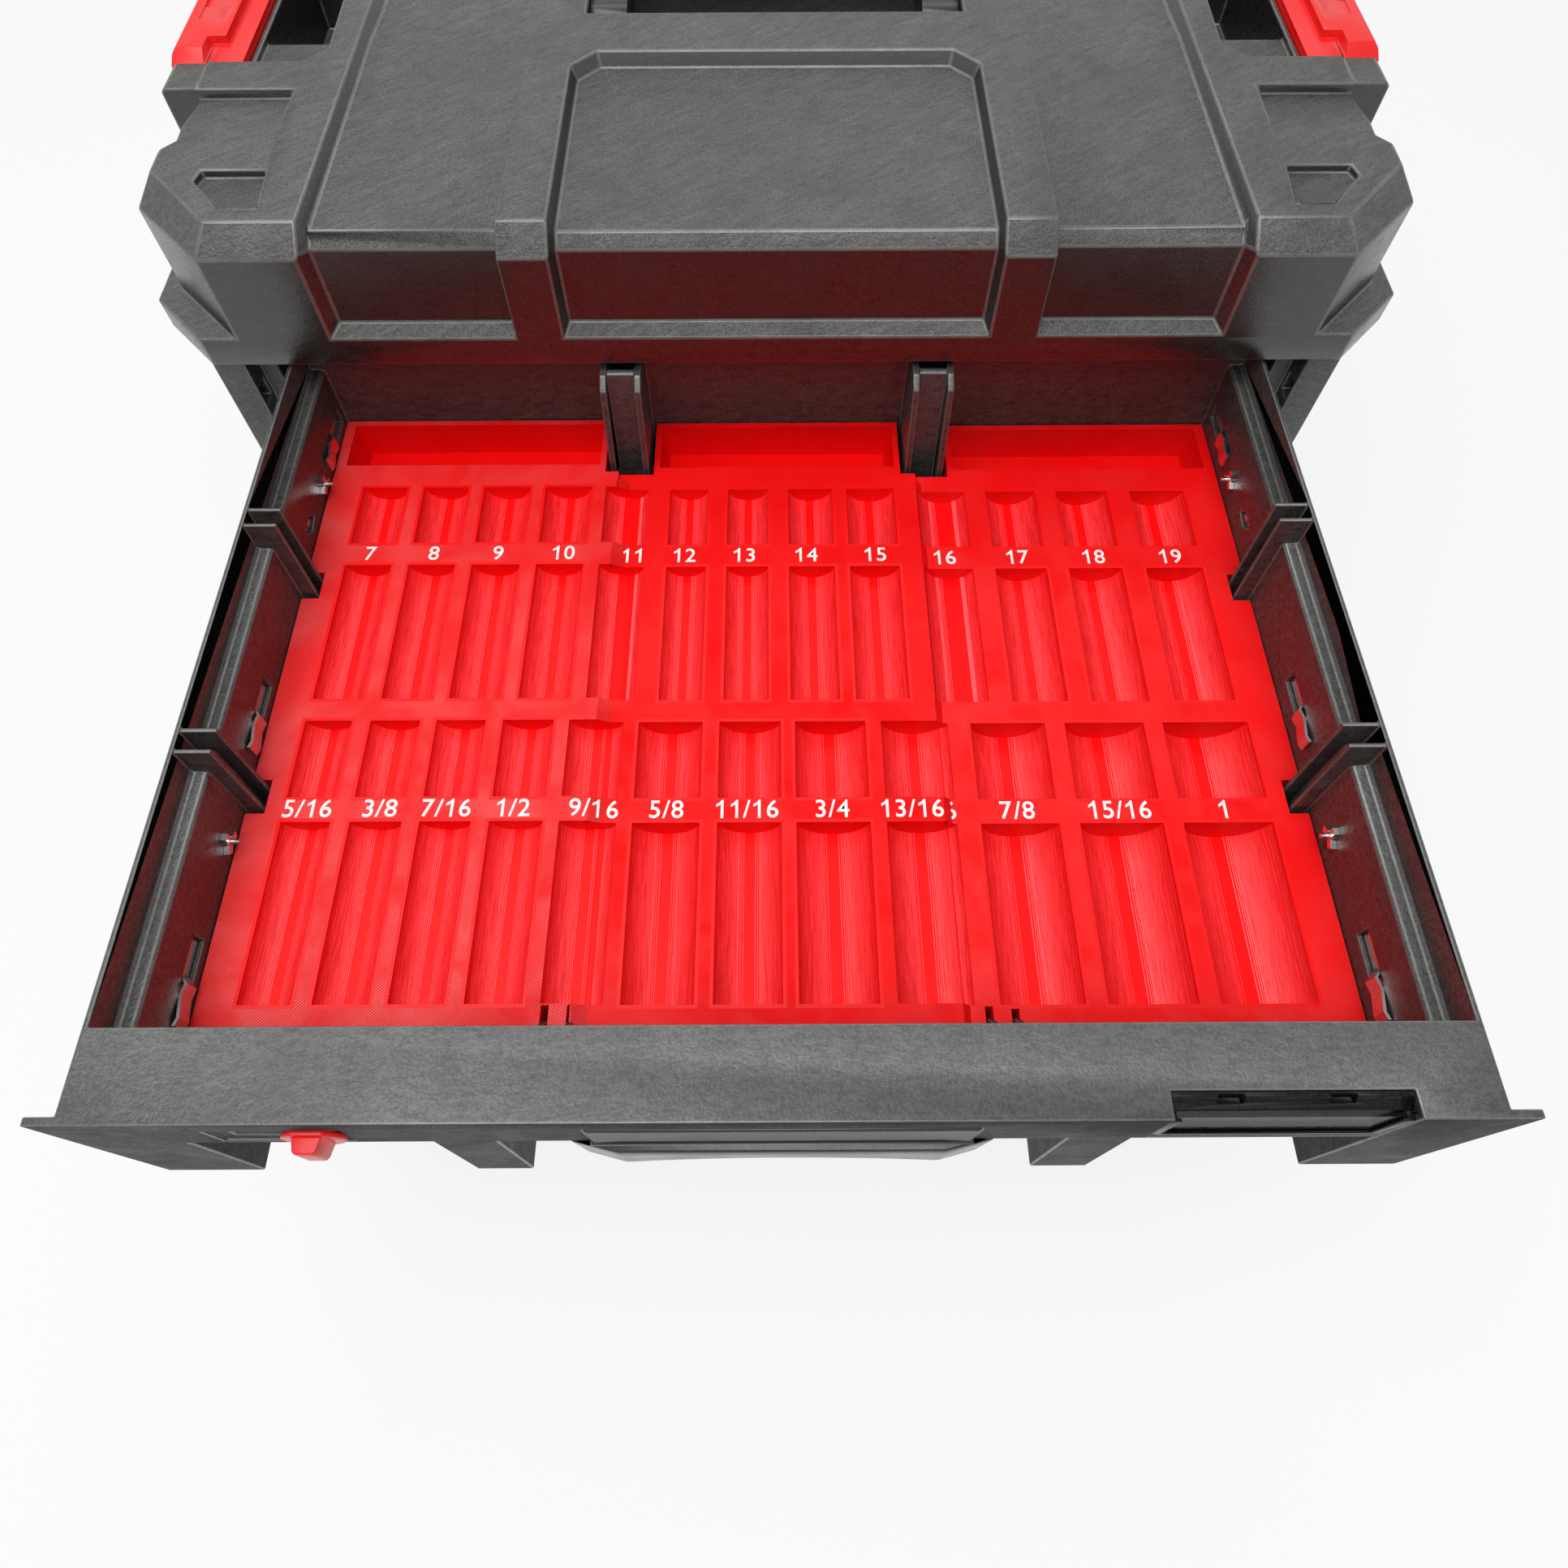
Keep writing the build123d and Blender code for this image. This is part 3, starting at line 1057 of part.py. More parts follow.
def make_label_holder(rim_z):
    """Holder dropped into the cut-out, with a lip round its window and two clip notches."""
    x0, x1 = LABEL_LEFT_X, LABEL_RIGHT_X
    y0, y1 = FASCIA_Y + 0.4, FASCIA_Y + LABEL_DEPTH
    z0, z1 = rim_z - LABEL_HEIGHT, rim_z - 0.8
    profile = [
        (y0 + 3.2, z0), (y1, z0), (y1, z1), (y1 - 2, z1), (y1 - 3, z1 - 2.5), (y0 + 3.2, z1 - 3.5),
    ]
    holder = prism_x(profile, x0, x1)
    frame = block(x0, x1, y0, y0 + 3.3, z0, z1 - 5)
    frame -= block(x0 + 4, x1 - 4, y0 - 1, y0 + 4, z0 + 4, z1)
    holder += frame
    holder -= block(x0 + 2.5, x1 - 2.5, y0 + 1.1, y0 + 3.2, z0 + 2.5, z1)
    for x in (x0 + 20.5, x0 + 58.5):
        holder -= block(x - 4.5, x + 4.5, y1 - 3.5, y1 - 1.0, z1 - 6, z1 + 1)
    return holder


def make_label_cover(rim_z):
    """Clear cover that slides down behind the holder's lip."""
    x0, x1 = LABEL_LEFT_X + 2.6, LABEL_RIGHT_X - 2.6
    y0 = FASCIA_Y + 0.4 + 1.15
    return block(x0, x1, y0, y0 + 1.2, rim_z - LABEL_HEIGHT + 2.6, rim_z - 4.4)


# ---------------------------------------------------------------- organizer
def trough(x, width, y0, y1, top_z):
    """Half-round trough whose chord at the top is width."""
    depth = width * POCKET_DEPTH_RATIO
    radius = (width * width / 4 + depth * depth) / (2 * depth)
    return rod_y(radius, y0, y1, x, top_z - depth + radius)


def make_insert(side, rim_z):
    """One of the three printed pieces; its top steps down from left to right."""
    floor_z = rim_z - RIM_TO_FLOOR
    edge = TUB_INNER_X - INSERT_WALL_GAP
    seams = (-edge, across(LEFT_SEAM_X), across(RIGHT_SEAM_X), edge)
    spans = {"left": seams[0:2], "middle": seams[1:3], "right": seams[2:4]}
    next_height = {"left": INSERT_HEIGHTS["middle"], "middle": INSERT_HEIGHTS["right"]}
    x0, x1 = spans[side]
    top_z = floor_z + INSERT_HEIGHTS[side]
    y0 = FASCIA_Y + INSERT_FRONT_OFFSET
    y1 = y0 + INSERT_LENGTH
    piece = block(x0, x1, y0, y1, floor_z, top_z)
    if side in next_height:
        step_z = floor_z + next_height[side]
        lap = [(x1 - 1, step_z), (x1 + LAP_WIDTH, step_z), (x1 + LAP_WIDTH * 0.35, top_z), (x1 - 1, top_z)]
        piece += prism_y(lap, y0, y1)
    piece -= insert_bin(x0, x1, top_z, y1)
    for sockets, near, far in TROUGH_ROWS:
        for _, place, width in sockets:
            x = across(place)
            if x + width / 2 > x0 and x - width / 2 < x1 + LAP_WIDTH:
                piece -= trough(x, width, along(near), along(far), top_z)
    return piece - insert_notches(rim_z)


def insert_bin(x0, x1, top_z, y1):
    """Long bin across the back of a piece, with a sloping end and front, clear of the rear posts."""
    post_side = POST_OUTER_X + NOTCH_GAP + BIN_WALL
    post_near = POST_INNER_X - NOTCH_GAP - BIN_WALL
    left = -post_near if x0 > -post_side and x0 < 0 else x0 + BIN_WALL + 2
    right = post_near if 0 < x1 < post_side else x1 - BIN_WALL - 2
    if x1 <= 0:
        right = -post_side
    if x0 > 0:
        left = post_side
    y0 = along(BIN_FRONT_OFFSET - 1.5)
    y_back = y1 - BIN_WALL
    low = top_z - BIN_DEPTH
    outline = [(y0, top_z + 1), (y_back, top_z + 1), (y_back - 1, low), (y0 + BIN_SLOPE, low), (y0, top_z - 8)]
    cut = prism_x(outline, left, right)
    ends = [(left, top_z + 1), (right, top_z + 1), (right - 3, low - 1), (left + 3, low - 1)]
    return cut & prism_y(ends, y0 - 1, y1)


def insert_notches(rim_z):
    """Room round the divider plates, the rear posts and the front gussets."""
    low = rim_z - RIM_TO_FLOOR - 1
    high = rim_z
    pairs = list(zip(PLATE_OFFSETS[0::2], PLATE_OFFSETS[1::2]))
    cut = None
    for near, far in pairs:
        y0 = along(near) - PLATE_THICKNESS / 2 - NOTCH_GAP
        y1 = along(far) + PLATE_THICKNESS / 2 + NOTCH_GAP
        piece = block(PLATE_INNER_X - 1.2, TUB_INNER_X + 1, y0, y1, low, high)
        cut = piece if cut is None else cut + piece
    wall_y = FASCIA_Y + DRAWER_LENGTH - FASCIA_WALL
    post_y = wall_y - POST_REACH - NOTCH_GAP
    cut += block(POST_INNER_X - NOTCH_GAP, POST_OUTER_X + NOTCH_GAP, post_y, wall_y, low, high)
    gusset_y = FASCIA_Y + TOP_PLATE_DEPTH
    for x in GUSSET_XS:
        reach = GUSSET_THICKNESS / 2 + 0.4
        cut += block(x - reach, x + reach, gusset_y - 1, gusset_y + GUSSET_REACH + 0.4, low, high)
    return both_sides(cut)


# ---------------------------------------------------------------- assembly
def write(name, shape):
    shape.label = name
    export_step(shape, f"parts/{name}.step")


def write_drawer(prefix, rim_z, draw):
    """All nodes of one drawer; draw is how far it stands open."""
    out = Pos(0, -draw, 0)
    half_out = Pos(0, -draw / 2, 0)
    write(f"{prefix}_drawer_box", out * make_drawer_box(rim_z))
    write(f"{prefix}_pull_grip", out * make_pull_grip(rim_z))
    write(f"{prefix}_lock_slider", out * make_lock_slider(rim_z))
    write(f"{prefix}_lock_bolt", out * make_lock_bolt(rim_z))
    write(f"{prefix}_label_holder", out * make_label_holder(rim_z))
    write(f"{prefix}_label_cover", out * make_label_cover(rim_z))
    write(f"{prefix}_slide_rivets", out * make_rivets(rim_z))
    members = (
        ("cabinet", slide_cabinet_right(rim_z), Pos(0, 0, 0)),
        ("middle", slide_middle_right(rim_z), half_out),
        ("drawer", slide_drawer_right(rim_z), out),
    )
    for kind, member, place in members:
        write(f"{prefix}_slide_{kind}_right", place * member)
        write(f"{prefix}_slide_{kind}_left", place * flip_x(member))


def main():
    os.makedirs("parts", exist_ok=True)
    write("top_cap", make_top_cap())
    side = make_side_panel_right()
    write("side_panel_right", side)
    write("side_panel_left", flip_x(side))
    write("back_panel", make_back_panel())
    write("base_pan", make_base_pan())
    write("feet", make_feet())
    write("mid_rail", make_mid_rail())
    write("housing_screws", make_housing_screws())
    write("carry_handle", make_carry_handle())
    write("handle_pins", make_handle_pins())
    latch = make_latch_right()
    write("latch_right", latch)
    write("latch_left", flip_x(latch))
    write("latch_pins", make_latch_pins())
    write_drawer("upper", UPPER_RIM_Z, DRAWER_TRAVEL)
    write_drawer("lower", LOWER_RIM_Z, 0.0)
    for side_name in ("left", "middle", "right"):
        write(f"organizer_{side_name}", Pos(0, -DRAWER_TRAVEL, 0) * make_insert(side_name, UPPER_RIM_Z))


main()
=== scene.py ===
# %% [markdown]
# # A drawer tool box with a printed socket organizer
#
# The box is a black moulded housing with two drawers. The upper drawer stands open and holds a
# red organizer in three printed pieces, with troughs for metric and inch sockets. This lesson
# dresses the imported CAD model: edges get the small radii of real mouldings, and each finish gets
# a node material that is built from noise, colour ramps and bump.

import json
from math import atan2, pi, radians, sin, sqrt

import bmesh
import bpy
from mathutils import Matrix, Vector


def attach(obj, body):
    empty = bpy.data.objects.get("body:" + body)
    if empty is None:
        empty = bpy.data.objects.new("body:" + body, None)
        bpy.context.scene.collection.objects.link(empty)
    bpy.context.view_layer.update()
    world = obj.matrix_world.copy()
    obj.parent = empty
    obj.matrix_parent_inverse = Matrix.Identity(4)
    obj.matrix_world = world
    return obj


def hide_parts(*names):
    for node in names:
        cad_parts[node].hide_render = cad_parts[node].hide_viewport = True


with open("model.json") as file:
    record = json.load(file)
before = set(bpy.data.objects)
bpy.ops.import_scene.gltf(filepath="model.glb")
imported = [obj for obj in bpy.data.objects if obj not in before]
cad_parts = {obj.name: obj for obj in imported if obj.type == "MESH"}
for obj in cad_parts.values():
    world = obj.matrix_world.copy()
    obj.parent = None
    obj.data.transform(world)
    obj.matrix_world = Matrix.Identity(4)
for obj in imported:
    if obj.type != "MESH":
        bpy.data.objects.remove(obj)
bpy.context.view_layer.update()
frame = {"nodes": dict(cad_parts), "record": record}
MM = 0.001
nodes = frame["nodes"]
bodies = frame["record"]["behaviour"]["bodies"]
body_of = {node: body for body, names in bodies.items() for node in names}
slot_of = {row["node"]: row["material_slot"] for row in frame["record"]["subparts"]}


def new_object(name, data):
    thing = bpy.data.objects.new(name, data)
    bpy.context.scene.collection.objects.link(thing)
    return thing


# %% [markdown]
# ## Camera
#
# The photograph was taken from above the open drawer with a wide phone lens. Its direction was
# worked out from edges that are parallel on the real box. The lens axis doesn't meet the middle
# of the picture, so the camera has a small shift: the picture was cropped from a larger one.

# %% Camera
CAMERA_PLACE = Vector((-2.2, -606.1, 666.9)) * MM
CAMERA_PITCH = 0.9885
CAMERA_YAW = -0.0003
CAMERA_ROLL = 0.0049
IMAGE_SIZE = 1932
FOCAL_PIXELS = 1420
AXIS_U, AXIS_V = 953.3, 724.5
SENSOR_WIDTH = 36.0
NEAREST_SEEN = 0.01

camera_data = bpy.data.cameras.new("camera")
camera_data.sensor_width = SENSOR_WIDTH
camera_data.lens = FOCAL_PIXELS / IMAGE_SIZE * SENSOR_WIDTH
camera_data.shift_x = (IMAGE_SIZE / 2 - AXIS_U) / IMAGE_SIZE
camera_data.shift_y = -(IMAGE_SIZE / 2 - AXIS_V) / IMAGE_SIZE
camera_data.clip_start = NEAREST_SEEN
camera = new_object("camera", camera_data)
turn = (
    Matrix.Rotation(CAMERA_YAW, 3, "Z")
    @ Matrix.Rotation(-CAMERA_PITCH, 3, "X")
    @ Matrix.Rotation(CAMERA_ROLL, 3, "Y")
)
right, ahead, up = turn.col
pose = Matrix((right, up, -ahead)).transposed()
camera.matrix_world = Matrix.Translation(CAMERA_PLACE) @ pose.to_4x4()
bpy.context.scene.camera = camera
print("Camera lens in mm:", round(camera_data.lens, 2), "shift:", round(camera_data.shift_y, 4))

# %% [markdown]
# ## Sizes that the scene shares with the CAD
#
# Sizes are in millimetres, heights are above the ground and the front faces -Y. The open drawer's
# rim, its fascia and the three heights of the organizer are enough to place every piece that this
# script adds.

# %% Shared sizes
RIM_Z = 250.0
TRAVEL = 347.0
SHUT_FASCIA_Y = -197.0
FASCIA_Y = SHUT_FASCIA_Y - TRAVEL
ORGANIZER_DROP = 57.0
STEP_DOWN = 3.0
ORGANIZER_TOPS = {
    side: RIM_Z - ORGANIZER_DROP - steps * STEP_DOWN
    for steps, side in enumerate(("left", "middle", "right"))
}

# %% [markdown]
# ## Helpers for node materials
#
# A material is a small graph. These helpers add a node, fill or join a socket, and make the parts
# that the finishes share: object coordinates in millimetres, a noise, a colour ramp and a bump.

# %% Material helpers
MM_PER_METRE = 1000
MIX_FACTOR, MIX_A, MIX_B, MIX_RESULT = 0, 6, 7, 2


def new_material(name, colour, roughness=0.5, metallic=0.0):
    material = bpy.data.materials.new(name)
    material.use_nodes = True
    shader = material.node_tree.nodes["Principled BSDF"]
    shader.inputs["Base Color"].default_value = (*colour, 1.0)
    shader.inputs["Roughness"].default_value = roughness
    shader.inputs["Metallic"].default_value = metallic
    material.diffuse_color = (*colour, 1.0)
    return material, material.node_tree, shader


def add(tree, kind, **values):
    """Adds a node; each value goes to the input of that name, or else to the setting."""
    node = tree.nodes.new(kind)
    for key, value in values.items():
        if key in node.inputs:
            node.inputs[key].default_value = value
        else:
            setattr(node, key, value)
    return node


def feed(tree, socket, value):
    """Fills a socket from another socket, from a colour of 3 numbers or from one number."""
    if isinstance(value, bpy.types.NodeSocket):
        tree.links.new(value, socket)
    elif isinstance(value, tuple):
        socket.default_value = (*value, 1.0)
    else:
        socket.default_value = value


def calculate(tree, operation, *values):
    node = add(tree, "ShaderNodeMath", operation=operation)
    for socket, value in zip(node.inputs, values):
        feed(tree, socket, value)
    return node.outputs[0]


def mapped(tree, vector, **values):
    node = add(tree, "ShaderNodeMapping", **values)
    tree.links.new(vector, node.inputs["Vector"])
    return node.outputs["Vector"]


def millimetres(tree, stretch=(1, 1, 1)):
    """Object coordinates, scaled so that one unit is a millimetre."""
    place = add(tree, "ShaderNodeTexCoord")
    return mapped(tree, place.outputs["Object"], Scale=tuple(MM_PER_METRE * s for s in stretch))


def split(tree, vector):
    """The X, Y and Z of a vector, by name."""
    node = add(tree, "ShaderNodeSeparateXYZ")
    tree.links.new(vector, node.inputs[0])
    return node.outputs


def noise(tree, vector, scale, detail=3.0, roughness=0.55, distortion=0.0):
    node = add(tree, "ShaderNodeTexNoise", Scale=scale, Detail=detail, Roughness=roughness,
               Distortion=distortion)
    tree.links.new(vector, node.inputs["Vector"])
    return node.outputs["Fac"]


def ramp(tree, value, stops):
    """stops is a list of (position, colour) with colours as 3 numbers or a grey."""
    node = add(tree, "ShaderNodeValToRGB")
    line = node.color_ramp
    while len(line.elements) < len(stops):
        line.elements.new(0.5)
    for element, (position, colour) in zip(line.elements, stops):
        element.position = position
        rgb = colour if isinstance(colour, tuple) else (colour,) * 3
        element.color = (*rgb, 1.0)
    tree.links.new(value, node.inputs["Fac"])
    return node.outputs["Color"]


def mix_colour(tree, factor, a, b, blend="MIX"):
    node = add(tree, "ShaderNodeMix", data_type="RGBA", blend_type=blend)
    for index, value in ((MIX_FACTOR, factor), (MIX_A, a), (MIX_B, b)):
        feed(tree, node.inputs[index], value)
    return node.outputs[MIX_RESULT]


def bump(tree, shader, height, distance, strength=1.0):
    """distance is in millimetres."""
    node = add(tree, "ShaderNodeBump", Strength=strength, Distance=distance * MM)
    tree.links.new(height, node.inputs["Height"])
    tree.links.new(node.outputs["Normal"], shader.inputs["Normal"])


# %% [markdown]
# ## Moulded black plastic
#
# The housing and drawers are polypropylene with a fine spark texture from the mould. The grain
# scatters light, so flat tops look charcoal and not black. Two noises make the grain, and a much
# larger one makes the cloudy flow marks that the photograph shows on the big flat fields.

# %% Black plastics
STREAK_TURN = radians(-32)
STREAKS = {"scale": 0.34, "detail": 6.0, "roughness": 0.72, "distortion": 0.4}
PEBBLES = {"scale": 0.85, "detail": 3.0, "roughness": 0.6, "distortion": 0.3}
FLOW_MARKS = {"scale": 0.028, "detail": 6.0, "roughness": 0.66, "distortion": 0.9}
PEBBLE_SHARE = 0.5
GRAIN_SHARE = 0.6


def moulded_plastic(name, colour, roughness, height, cloud=0.25, turn=0.0,
                    stretch=(0.2, 1.0, 1.0), shine=0.8, specks=(0.15, 1.9)):
    """Black moulding with a leathery grain: fine streaks that run one way, and round pebbles.

    height is the depth of the grain in millimetres. cloud is how far the flow marks lighten and
    darken the colour. turn and stretch lay out the streaks. specks are the factors of the colour
    at the bottom and at the top of the grain.
    """
    material, tree, shader = new_material(name, colour, roughness)
    shader.inputs["Specular IOR Level"].default_value = shine
    place = millimetres(tree)
    turned = mapped(tree, millimetres(tree), Rotation=(0, 0, turn))
    streaks = noise(tree, mapped(tree, turned, Scale=stretch), **STREAKS)
    grain = mix_colour(tree, PEBBLE_SHARE, streaks, noise(tree, place, **PEBBLES))
    flow = noise(tree, place, **FLOW_MARKS)
    darker = tuple(c * (1 - cloud) for c in colour)
    lighter = tuple(c * (1 + cloud) for c in colour)
    clouds = ramp(tree, flow, [(0.32, darker), (0.68, lighter)])
    speckle = ramp(tree, grain, [(0.40, specks[0]), (0.58, specks[1])])
    tree.links.new(mix_colour(tree, 1.0, clouds, speckle, "MULTIPLY"), shader.inputs["Base Color"])
    patches = mix_colour(tree, GRAIN_SHARE, flow, grain)
    rough = ramp(tree, patches, [(0.38, roughness + 0.12), (0.62, roughness - 0.08)])
    tree.links.new(rough, shader.inputs["Roughness"])
    bump(tree, shader, grain, height)
    return material


cap_plastic = moulded_plastic(
    "cap plastic", (0.026, 0.026, 0.024), 0.37, 1.3, cloud=0.35, turn=STREAK_TURN)
housing_plastic = moulded_plastic(
    "housing plastic", (0.024, 0.024, 0.023), 0.42, 0.45, turn=STREAK_TURN)
drawer_plastic = moulded_plastic(
    "drawer plastic", (0.026, 0.026, 0.025), 0.36, 0.40, stretch=(0.35, 1.0, 1.0))
# The cap's upright faces get a darker copy of its black: painted shade.
cap_side_shaded_plastic = moulded_plastic(
    "cap sides, painted shade", (0.010, 0.010, 0.009), 0.26, 0.22, cloud=0.2, turn=STREAK_TURN, shine=0.85)
front_plastic = moulded_plastic(
    "fascia front", (0.030, 0.030, 0.029), 0.5, 0.2, cloud=0.15, shine=0.06, specks=(0.7, 1.3))
smooth_plastic = moulded_plastic(
    "smooth black plastic", (0.010, 0.010, 0.011), 0.22, 0.02, cloud=0.1, shine=0.5)
trim_plastic = moulded_plastic(
    "trim plastic", (0.006, 0.006, 0.006), 0.24, 0.012, cloud=0.1, shine=0.12)
# The rounded edges of the big mouldings get a lighter black: a painted highlight.
edge_highlight_plastic = moulded_plastic(
    "edge plastic, painted highlight", (0.075, 0.075, 0.070), 0.32, 0.10, cloud=0.2, shine=0.9, specks=(0.6, 1.3))

# %% [markdown]
# ## Red plastics
#
# The latches and lock sliders are smooth injection mouldings. The organizer is printed from red
# filament, so its surfaces carry fine lines: level rings round its upright faces and parallel
# strokes at 45 degrees on its tops. The tops shine more in some patches than in others.

# %% Red plastics
LAYER_HEIGHT = 0.2
STROKE_WIDTH = 1.0
BEAD = [(0.0, 0.0), (0.25, 0.85), (0.5, 1.0), (0.75, 0.85), (1.0, 0.0)]
SHEEN_PATCHES = {"scale": 0.03, "detail": 3.0, "roughness": 0.6, "distortion": 0.8}
LEVEL_NORMAL = 0.985
GROOVE_SHADE_SHARE = 0.7


def red_moulding():
    material, tree, shader = new_material("red moulded plastic", (0.78, 0.006, 0.005), 0.30)
    shader.inputs["Specular IOR Level"].default_value = 0.4
    grain = noise(tree, millimetres(tree), 1.2)
    tone = ramp(tree, grain, [(0.3, (0.70, 0.004, 0.004)), (0.7, (0.82, 0.007, 0.006))])
    tree.links.new(tone, shader.inputs["Base Color"])
    bump(tree, shader, grain, 0.012, 0.6)
    return material


def sawtooth(tree, value, pitch):
    """Rises from 0 to 1 over each pitch millimetres of value."""
    return calculate(tree, "FRACT", calculate(tree, "MULTIPLY", value, 1.0 / pitch))


def printed_red(name, stroke_angle, stroke_bump, shine):
    """Filament red: strokes of the nozzle on level faces, stacked layers on upright ones, with
    painted shade darkening the grooves between them.
    """
    material, tree, shader = new_material(name, (0.90, 0.003, 0.004), 0.42)
    place = millimetres(tree)
    patches = noise(tree, place, **SHEEN_PATCHES)
    sheen = ramp(tree, patches, [(0.36, shine * 0.45), (0.66, shine * 1.25)])
    tree.links.new(sheen, shader.inputs["Specular IOR Level"])
    shape = add(tree, "ShaderNodeNewGeometry")
    facing = split(tree, shape.outputs["Normal"])
    level = calculate(tree, "GREATER_THAN", facing["Z"], LEVEL_NORMAL)
    turned = mapped(tree, place, Rotation=(0, 0, radians(stroke_angle)))
    strokes = ramp(tree, sawtooth(tree, split(tree, turned)["X"], STROKE_WIDTH), BEAD)
    layers = ramp(tree, sawtooth(tree, split(tree, place)["Z"], LAYER_HEIGHT), BEAD)
    beads = mix_colour(tree, level, layers, strokes)
    cloud = noise(tree, place, 0.02, 4.0)
    tone = ramp(tree, cloud, [(0.3, (0.88, 0.002, 0.003)), (0.7, (0.96, 0.004, 0.005))])
    # The grooves between the beads are darkened: painted shade.
    groove_shade = ramp(tree, beads, [(0.0, 0.45), (0.35, 1.0)])
    red = mix_colour(tree, GROOVE_SHADE_SHARE, tone, groove_shade, "MULTIPLY")
    tree.links.new(red, shader.inputs["Base Color"])
    bump(tree, shader, beads, stroke_bump)
    return material


def plain_red(name, low, high, roughness, shine, strand=(1.0, 1.0, 1.0), height=0.03):
    """Printed red without strokes, for the closed outlines and for the layers of the troughs."""
    material, tree, shader = new_material(name, high, roughness)
    shader.inputs["Specular IOR Level"].default_value = shine
    grain = noise(tree, millimetres(tree, strand), 1.3, 4.0, 0.68)
    tone = ramp(tree, grain, [(0.34, low), (0.62, high)])
    tree.links.new(tone, shader.inputs["Base Color"])
    rough = ramp(tree, grain, [(0.36, roughness + 0.1), (0.64, roughness - 0.08)])
    tree.links.new(rough, shader.inputs["Roughness"])
    bump(tree, shader, grain, height, 0.9)
    return material


red_plastic = red_moulding()
organizer_reds = {
    "left": printed_red("printed red, left piece", 45, 0.16, 0.65),
    "middle": printed_red("printed red, middle piece", -45, 0.05, 0.16),
    "right": printed_red("printed red, right piece", -45, 0.06, 0.26),
}
outline_red = plain_red(
    "printed red, outline strokes", (0.90, 0.002, 0.003), (0.97, 0.005, 0.006), 0.34, 0.22)
# The wall's streaks of tone follow the strands; the pink of their light end is painted sheen.
layer_streaks_and_sheen_red = plain_red(
    "printed red, stacked layers, painted sheen", (0.70, 0.002, 0.003), (1.0, 0.035, 0.042), 0.42, 0.50,
    strand=(1.0, 0.05, 1.0), height=0.26)
band_red = plain_red(
    "printed red, trough bottom", (0.86, 0.002, 0.003), (0.96, 0.004, 0.005), 0.36, 0.14,
    strand=(1.0, 0.3, 1.0))
# The layer edges get a light pink: a painted highlight, for the light that the rounded beads
# catch.
bead_highlight_red = plain_red(
    "printed red, layer edges, painted highlight", (0.95, 0.05, 0.06), (1.0, 0.13, 0.15), 0.4, 0.7,
    strand=(1.0, 0.3, 1.0), height=0.05)

# %% [markdown]
# ## Metals and clear cover
#
# The slides, screws and pins are zinc plated, and the rivets are bright aluminium. The label cover
# is clear but looks black, because it reflects little and its holder is black.


# %% Other finishes
def bright_metal(name, colour, roughness, streak):
    """streak stretches the brushed grain along Y: the smaller, the longer its lines."""
    material, tree, shader = new_material(name, colour, roughness, 1.0)
    brushed = noise(tree, millimetres(tree, (1, streak, 1)), 1.5, 4.0, 0.6)
    tone = ramp(tree, brushed, [(0.3, tuple(c * 0.82 for c in colour)), (0.7, colour)])
    tree.links.new(tone, shader.inputs["Base Color"])
    rough = ramp(tree, brushed, [(0.3, roughness + 0.08), (0.7, roughness - 0.06)])
    tree.links.new(rough, shader.inputs["Roughness"])
    bump(tree, shader, brushed, 0.01, 0.6)
    return material


def clear_plastic():
    material, tree, shader = new_material("clear cover", (0.012, 0.012, 0.013), 0.12)
    shader.inputs["Alpha"].default_value = 0.45
    shader.inputs["IOR"].default_value = 1.25
    shader.inputs["Specular IOR Level"].default_value = 0.1
    haze = noise(tree, millimetres(tree), 0.3)
    tree.links.new(ramp(tree, haze, [(0.3, 0.08), (0.8, 0.2)]), shader.inputs["Roughness"])
    return material


slide_steel = bright_metal("zinc plated steel", (0.66, 0.66, 0.65), 0.28, 0.08)
rivet_metal = bright_metal("rivet aluminium", (0.82, 0.82, 0.82), 0.22, 1.0)
rubber = moulded_plastic("foot rubber", (0.018, 0.018, 0.018), 0.75, 1.5, cloud=0.04)
clear_cover = clear_plastic()

FINISHES = {
    "cap_plastic": cap_plastic,
    "housing_plastic": housing_plastic,
    "drawer_plastic": drawer_plastic,
    "handle_plastic": smooth_plastic,
    "grip_plastic": smooth_plastic,
    "trim_plastic": trim_plastic,
    "latch_plastic": red_plastic,
    "lock_plastic": red_plastic,
    "printed_red": organizer_reds["left"],
    "slide_steel": slide_steel,
    "zinc_steel": slide_steel,
    "pin_steel": slide_steel,
    "rivet_aluminium": rivet_metal,
    "foot_rubber": rubber,
    "clear_cover": clear_cover,
}


def dress(thing, material):
    thing.data.materials.clear()
    thing.data.materials.append(material)


for name, thing in nodes.items():
    dress(thing, FINISHES[slot_of[name]])
for side, red in organizer_reds.items():
    dress(nodes[f"organizer_{side}"], red)
print("Finishes:", len(FINISHES))

# %% [markdown]
# ## Rounded edges
#
# A moulding never has a knife edge: its radii catch the light and outline every form. The CAD
# solids have sharp edges, so each visible one is copied, its loose triangles are merged back into
# flat faces, and a Bevel modifier rounds what is left. On the large black mouldings the new faces
# get a lighter colour, which is a painted highlight for the light that the radii catch.

